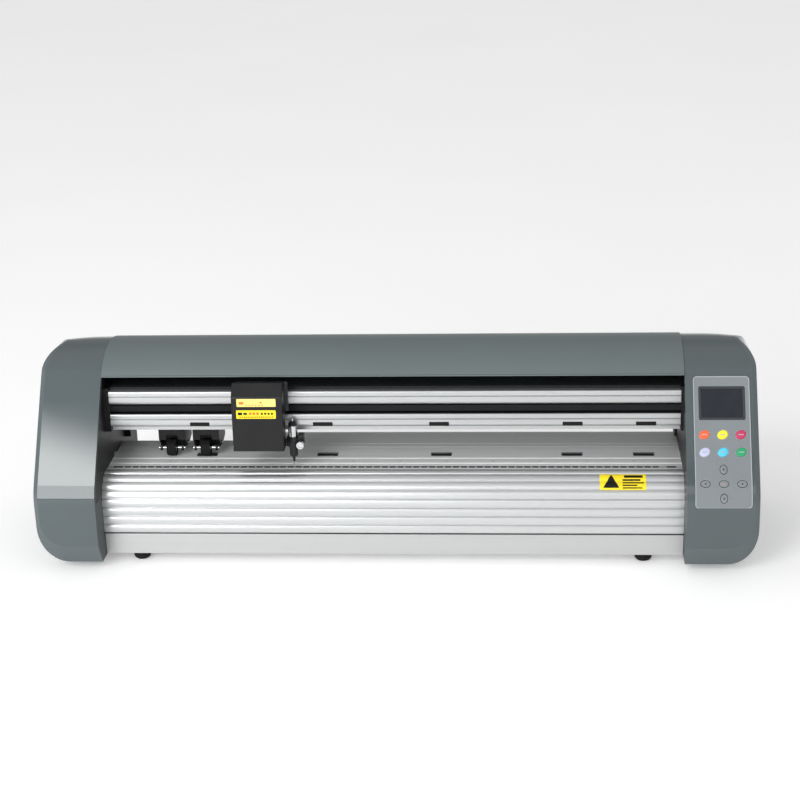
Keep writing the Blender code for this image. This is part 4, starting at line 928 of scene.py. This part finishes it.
def build_apron_label():
    """A plain yellow label on the apron: a black triangle and plain bars."""
    left, right, first, last = 256.0, 313.0, 1.04, 2.96
    bm = add_apron_patch(bmesh.new(), lambda t: left, lambda t: right, first, last, -0.3, 0.12)
    piece(bm, "apron_label", "frame", "label_yellow", slot="key_yellow")
    ink = bmesh.new()
    middle = left + 14.0
    add_apron_patch(ink, lambda t: middle - 0.3 - 9.5 * t, lambda t: middle + 0.3 + 9.5 * t, 1.25, 2.75,
            -0.1, 0.22)
    for start, end, x0, x1 in ((1.3, 1.62, 30, 53), (1.78, 1.98, 28, 50), (2.12, 2.28, 28, 54), (2.42,
            2.56, 28, 46), (2.7, 2.82, 28, 52)):
        add_apron_patch(ink, lambda t, x=left + x0: x, lambda t, x=left + x1: x, start, end, -0.1, 0.22)
    piece(ink, "apron_label_marks", "frame", "label_ink", slot="black_plastic")


# ---- carriage and tool
def build_blade_holder():
    """Knurled grip, black ring, adjusting pin and the barrel that reaches down."""
    grip_low, grip_high = 155.4, 170.0
    centre = (TOOL_X, TOOL_Y)
    grip = [(1.2, grip_high), (5.2, grip_high), (5.8, grip_high - 0.6), (5.8, grip_low + 0.4), (5.4,
            grip_low), (1.2, grip_low)]
    bm = add_turned(bmesh.new(), "Z", centre, grip, 96, (2, 3, 0.28))
    add_turned(bm, "Z", centre, [(0.0, 180.0), (0.7, 180.0), (0.9, 179.6), (0.9, 174.4), (0.0, 174.4)], 20)
    neck = [(1.2, grip_low + 0.2), (5.1, grip_low + 0.2), (5.1, 150.0), (1.2, 150.0)]
    add_turned(bm, "Z", centre, neck, 48)
    piece(bm, "blade_holder_grip", "tool_lift", "steel", "blade_holder", smooth=40.0)
    cap = bmesh.new()
    add_turned(cap, "Z", centre, [(0.0, 174.8), (3.0, 174.8), (3.6, 174.2), (3.6, 172.6), (5.4, 172.4),
            (5.7, 171.9), (5.7, grip_high + 0.1), (0.0, grip_high + 0.1)], 48)
    barrel = [(5.2, 150.2), (5.2, 130.8), (4.9, 129.6), (4.2, 128.7), (3.2, 128.3), (1.7, 128.2), (1.5,
            123.0), (1.3, 121.2), (1.15, 121.2), (1.15, 150.2)]
    add_turned(cap, "Z", centre, barrel, 48)
    piece(cap, "blade_holder_barrel", "tool_lift", "black_plastic")
    refine("tool_clamp", bevel=0.5, segments=3)
    repaint("swivel_blade")


def build_thumb_screw():
    x, _, z = middle_of("clamp_thumb_screw")
    front, back = span("clamp_thumb_screw", 1)
    profile = [(0.0, front + 0.4), (2.6, front + 0.4), (3.0, front), (4.6, front), (5.2, front + 0.6),
            (5.2, back - 3.7), (4.7, back - 3.2), (2.4, back - 3.2), (2.4, back), (0.0, back)]
    bm = add_turned(bmesh.new(), "Y", (x, z), profile, 72, (4, 5, 0.3))
    piece(bm, "thumb_screw_head", "clamp_screw", "steel", "clamp_thumb_screw", smooth=40.0)


def build_carriage_cover():
    """Moulded cover with softened edges, and its labels."""
    refine("carriage_cover", "cover_plastic", bevel=1.1, segments=4)
    build_carriage_labels()


def build_pinch_units():
    for number in (1, 2):
        prefix = "pinch_%d_" % number
        refine(prefix + "bracket", bevel=0.4)
        refine(prefix + "arm", bevel=0.35)
        refine(prefix + "lever", bevel=0.5, segments=3)
        build_pinch_web(prefix, "pinch_%d_mount" % number)
        build_pinch_wheel(prefix, "pinch_%d_roller" % number)
        build_pinch_pins(prefix, "pinch_%d_mount" % number)


def build_pinch_web(prefix, body):
    """Wall between a bracket's ears, above the arm and behind the wheel."""
    middle = middle_of(prefix + "bracket")[0]
    half, low, high = 15.0, 131.8, 149.0
    outline = [(middle - half, high), (middle - half, low + 2.2), (middle - half + 2.5, low),
            (middle + half - 2.5, low), (middle + half, low + 2.2), (middle + half, high)]
    bm = prism("Y", outline, (7.0, 9.0))
    piece(bm, prefix + "bracket_web", body, "black_steel", bevel=0.3)


def both_ends(middle, points):
    """A profile of (radius, distance from the middle) and its mirror image."""
    return [(r, middle + a) for r, a in points] + [(r, middle - a) for r, a in points[::-1]]


def build_pinch_wheel(prefix, body):
    """Rubber tyre on a steel hub and axle."""
    x, y, z = middle_of(prefix + "wheel")
    (left, right), (low, high) = span(prefix + "wheel", 0), span(prefix + "wheel", 2)
    length, radius = (right - left) / 2, (high - low) / 2
    half, hub = 6.0, 5.0
    tyre = both_ends(x, [(hub, half - 1.2), (radius - 2.6, half), (radius - 1.0, half), (radius - 0.3,
            half - 0.3), (radius, half - 1.0), (radius - 0.25, 2.2), (radius - 0.25, 1.8), (radius, 1.6)])
    bm = add_turned(bmesh.new(), "X", (y, z), tyre, 64)
    piece(bm, prefix + "tyre", body, "rubber", prefix + "wheel", smooth=40.0)
    thick = 1.6
    axle = both_ends(x, [(0.0, length), (thick - 0.3, length), (thick, length - 0.3), (thick, half - 0.6),
            (hub + 0.1, half - 1.0)])
    bm = add_turned(bmesh.new(), "X", (y, z), axle, 40)
    piece(bm, prefix + "axle", body, "steel", smooth=40.0)


def build_pinch_pins(prefix, body):
    """Bright caps on the ends of the arm's pin."""
    radius = 1.95
    bm = bmesh.new()
    left, right = span(prefix + "bracket", 0)
    for end, side in ((left, -1.0), (right, 1.0)):
        profile = [(0.0, end + side * 0.25), (radius - 0.5, end + side * 0.2), (radius, end - side * 0.2),
                (radius, end - side * 1.9), (0.0, end - side * 1.9)]
        add_turned(bm, "X", PINCH_PIN, profile, 32)
    piece(bm, prefix + "pin_caps", body, "steel")


# ---- control panel
def key_layout():
    """Every key: name, X, distance down the face, radii and turn."""
    keys = []
    for row, s in zip((("cut", "pause", "origin"), ("speed", "test", "menu")), KEY_ROWS):
        keys += [(name, x, s, KEY_RADII, KEY_TURN) for name, x in zip(row, KEY_COLUMNS)]
    left, middle, right = KEY_COLUMNS
    upright = ARROW_RADII[::-1]
    keys += [("up", middle, ARROW_S[0], upright, 0.0), ("left", left, ARROW_S[1], ARROW_RADII, 0.0),
            ("enter", middle, ARROW_S[1], ARROW_RADII, 0.0), ("right", right, ARROW_S[1], ARROW_RADII,
            0.0), ("down", middle, ARROW_S[2], upright, 0.0)]
    return keys


def add_ring(bm, outer, inner, low, high):
    """A flat frame between two outlines with the same number of points."""
    rings = []
    for outline, level in ((outer, low), (outer, high), (inner, high), (inner, low)):
        rings.append([bm.verts.new(Vector((a, b, level)) * MM) for a, b in outline])
    for here, there in zip(rings, rings[1:] + rings[:1]):
        stitch(bm, here, there)
    return bm


def frame_outline(x, s, radius, grow=0.0):
    return rounded((x[0] - grow, x[1] + grow), (-s[1] - grow, -s[0] + grow), radius + grow)


def build_panel():
    low, high = PANEL_PROUD - PANEL_THICK, PANEL_PROUD
    plate = prism("Z", frame_outline(PANEL_X, PANEL_S, 5.0), (low, high))
    holes = prism("Z", frame_outline(WINDOW_X, WINDOW_S, 2.0), (low - 5.0, high + 5.0))
    for _, x, s, radii, turn in key_layout():
        grown = (radii[0] + GAP, radii[1] + GAP)
        add_prism(holes, "Z", ellipse((x, -s), grown, turn), (low - 5.0, high + 5.0))
    piece(wrap(carve(plate, holes)), "control_panel_plate", "frame", "panel_grey", "control_panel",
            bevel=0.2, smooth=30.0)
    line = add_ring(bmesh.new(), frame_outline(PANEL_X, PANEL_S, 5.0, -0.2), frame_outline(PANEL_X,
            PANEL_S, 5.0, -1.3), high - 0.2, high + 0.25)
    piece(wrap(line), "panel_border", "frame", "panel_line", slot="panel_grey", bevel=0.1)
    build_panel_print(high)
    build_display()
    for layout in key_layout():
        build_key(*layout)


def build_panel_print(high):
    """Pale printed rings round the keys."""
    pale = bmesh.new()
    for name, x, s, radii, turn in key_layout():
        wide = 0.7 if name in ARROW_KEYS else 0.8
        outer = ellipse((x, -s), (radii[0] + wide, radii[1] + wide), turn)
        inner = ellipse((x, -s), (radii[0] + 0.4, radii[1] + 0.4), turn)
        add_ring(pale, outer, inner, high - 0.2, high + 0.06)
    piece(wrap(pale), "panel_rings", "frame", "panel_line", slot="panel_grey")


def build_display():
    """Glass in a dark frame, a little below the panel's face."""
    glass = flat_plate(WINDOW_X, WINDOW_S, 1.6, -6.0, -0.55, -0.4)
    piece(glass, "display_glass", "frame", "screen", "display_screen", bevel=0.2)
    outer, inner = (frame_outline(WINDOW_X, WINDOW_S, 2.0, grow) for grow in (-0.35, -2.9))
    piece(wrap(add_ring(bmesh.new(), outer, inner, -0.8, 0.25)), "display_frame", "frame", "bezel",
            slot="black_plastic", bevel=0.2)


def build_key(name, x, s, radii, turn):
    """A low dome that rides in its hole, square to the panel, with its mark."""
    cad_node = "key_" + name
    y, z, lean = face(s)
    base = PANEL_PROUD - PANEL_THICK + 0.7
    levels = ((1.0, base), (1.0, 0.55), (0.985, 0.8), (0.94, 1.0), (0.86, 1.13), (0.66, 1.28), (0.4, 1.38),
            (0.15, 1.41))
    rows = []
    bm = bmesh.new()
    for scale, height in levels:
        outline = ellipse((0.0, 0.0), (radii[0] * scale, radii[1] * scale), turn)
        rows.append([bm.verts.new(Vector((a, b, height)) * MM) for a, b in outline])
    for level, (low_row, high_row) in enumerate(zip(rows, rows[1:])):
        for side in stitch(bm, low_row, high_row):
            side.material_index = int(name in ARROW_KEYS and level < 4)
    bm.faces.new(rows[0][::-1])
    bm.faces.new(rows[-1])
    place = Matrix.Translation(Vector((x, y, z)) * MM)
    place = place @ Matrix.Rotation(pi / 2 - lean, 4, "X")
    bmesh.ops.transform(bm, matrix=place, verts=bm.verts)
    piece(bm, cad_node + "_cap", "button_" + name, (SLOTS[cad_node], "panel_ink"), cad_node, smooth=40.0)
    build_key_mark(name, place)


def build_key_mark(name, place):
    """A triangle on each arrow key, a reddish bar on enter and a pale bar on the others."""
    turns = {"up": 0.0, "left": 90.0, "down": 180.0, "right": 270.0}
    if name in turns:
        outline, finish = [(0.0, 2.0), (-1.7, -1.1), (1.7, -1.1)], "panel_ink"
        outline = [rotated(a, b, radians(turns[name])) for a, b in outline]
    elif name == "enter":
        outline, finish = rounded((-2.2, 2.2), (-0.7, 0.7), 0.5, 4), "enter_ink"
    else:
        outline, finish = rounded((-3.2, 3.2), (-0.55, 0.55), 0.4, 4), "panel_line"
    bm = prism("Z", outline, (0.9, 1.45))
    bmesh.ops.transform(bm, matrix=place, verts=bm.verts)
    piece(bm, "key_" + name + "_mark", "button_" + name, finish, slot="panel_grey")


# ---- everything else
REFINED = {"left_side_plate": 0.4, "right_side_plate": 0.4, "base_tray": 0.4, "carriage_plate": 0.3,
        "power_inlet": 0.4, "data_port": 0.3, "power_switch": 0.5}
FINISH_OF = {"base_tray": "sheet", "grit_shaft": "grit", "carriage_plate": "bezel"}


def build_rest():
    """Round the other visible nodes' edges, and give the hidden ones a detailed finish."""
    for cad_node, width in REFINED.items():
        refine(cad_node, FINISH_OF.get(cad_node), bevel=width)
    for cad_node, obj in frame["nodes"].items():
        if not obj.hide_render:
            repaint(cad_node, FINISH_OF.get(cad_node))


# ---- stage, lights and camera
WORLD_LIGHT, FLOOR_GLOW = 0.70, 0.22


def stage_object(name, mesh, material):
    mesh.materials.append(material)
    add_object(name, mesh)


def build_floor():
    material = surface("studio_floor", (0.90, 0.90, 0.90), 0.7, grain=300.0, depth=0.01, spread=0.05,
            amount=0.01, cloud=2.0)
    bm = bmesh.new()
    bmesh.ops.create_grid(bm, x_segments=8, y_segments=8, size=60.0)
    shader = material.node_tree.nodes["Principled BSDF"]
    feed(shader, {"Emission Color": (1.0, 1.0, 1.0, 1.0), "Emission Strength": FLOOR_GLOW})
    stage_object("floor", as_mesh(bm, "floor", tidy=False), material)


def glow(name, strength, fade):
    """Emission that fades out between two heights in metres."""
    material = bpy.data.materials.new(name)
    material.use_nodes = True
    tree = material.node_tree
    tree.nodes.clear()
    light = node(tree, "Emission", {"Color": (1.0, 1.0, 1.0, 1.0)})
    height = coordinates(tree, "Object")["Z"]
    link(tree, remap(tree, height, strength, 0.0, *fade), light.inputs["Strength"])
    out = node(tree, "OutputMaterial")
    link(tree, light.outputs[0], out.inputs["Surface"])
    return material


def softbox(name, target, azimuths, elevations, distance, strength, soft=0.01):
    """A bright panel seen from a target point between two azimuths and two elevations, in degrees.

    Azimuth 0 is straight ahead of the machine and turns towards +X. The light fades out over
    the top of the panel, over a height of soft metres.
    """
    bm = bmesh.new()
    corners = []
    middle = radians(sum(azimuths) / 2)
    out = Vector((sin(middle), -cos(middle), 0.0))
    for azimuth, elevation in ((azimuths[0], elevations[0]), (azimuths[1], elevations[0]), (azimuths[1],
            elevations[1]), (azimuths[0], elevations[1])):
        turn, rise = radians(azimuth), radians(elevation)
        ray = Vector((sin(turn), -cos(turn), 0.0))
        reach = distance / ray.dot(out)
        place = Vector(target) * MM + ray * reach
        place.z += reach * tan(rise)
        corners.append(bm.verts.new(place))
    top = max(corner.co.z for corner in corners)
    bm.faces.new(corners)
    stage_object(name, as_mesh(bm, name, tidy=False), glow(name + "_glow", strength, (top - soft, top)))


def build_world():
    """Even light from all round, dimmer behind the machine except high up and at the horizon."""
    world = bpy.data.worlds.new("studio")
    world.use_nodes = True
    tree = world.node_tree
    background = tree.nodes["Background"]
    background.inputs["Color"].default_value = (1.0, 1.0, 1.0, 1.0)
    parts = coordinates(tree, "Generated")
    mask, above = (node(tree, "Math", operation="MULTIPLY") for _ in range(2))
    link(tree, remap(tree, parts["Y"], 0.0, 1.0, 0.1, 0.5), mask.inputs[0])
    link(tree, remap(tree, parts["Z"], 1.0, 0.0, 0.6, 0.85), mask.inputs[1])
    link(tree, mask.outputs[0], above.inputs[0])
    link(tree, remap(tree, parts["Z"], 0.0, 1.0, 0.06, 0.2), above.inputs[1])
    dimmed = remap(tree, above.outputs[0], WORLD_LIGHT, WORLD_LIGHT * 0.5, 0.0, 1.0)
    link(tree, dimmed, background.inputs["Strength"])
    bpy.context.scene.world = world


def build_lights():
    build_world()
    softbox("key_panel", (-410.0, -85.0, 180.0), (-40.0, -8.0), (40.0, 45.6), 3.0, 10.5, 0.24)
    softbox("low_panel", (-410.0, -85.0, 180.0), (-40.0, -8.0), (2.0, 40.0), 3.0, 6.8)
    softbox("fill_panel", (405.0, -85.0, 180.0), (4.0, 26.0), (20.0, 46.0), 3.4, 1.6, 0.5)


def build_camera():
    """The view: a long lens, a little above and turned a little to the left."""
    pitch, turn, roll = radians(20.0), radians(4.77), radians(-1.8)
    place = Vector((183.8, -2149.7, 971.2)) * MM
    flat = Vector((-sin(turn), cos(turn), 0.0))
    across = Vector((cos(turn), sin(turn), 0.0))
    ahead = flat * cos(pitch) - Vector((0, 0, sin(pitch)))
    above = flat * sin(pitch) + Vector((0, 0, cos(pitch)))
    right = across * cos(roll) + above * sin(roll)
    up = above * cos(roll) - across * sin(roll)
    data = bpy.data.cameras.new("camera")
    data.lens = 81.0
    data.sensor_width = 36.0
    data.clip_end = 60.0
    obj = add_object("camera", data)
    obj.matrix_world = Matrix.Translation(place) @ Matrix((right, up, -ahead)).transposed().to_4x4()
    bpy.context.scene.camera = obj


build_cover("left_cover", LEFT_END, OPEN_LEFT)
build_cover("right_cover", RIGHT_END, OPEN_RIGHT)
build_hood()
build_platen()
build_platen_screws()
build_cutting_strip()
build_beam()
build_rear_apron()
build_feet()
build_apron_label()
build_carriage_cover()
build_blade_holder()
build_thumb_screw()
build_pinch_units()
build_panel()
build_rest()
build_floor()
build_lights()
build_camera()
bpy.context.scene.view_settings.view_transform = "Standard"
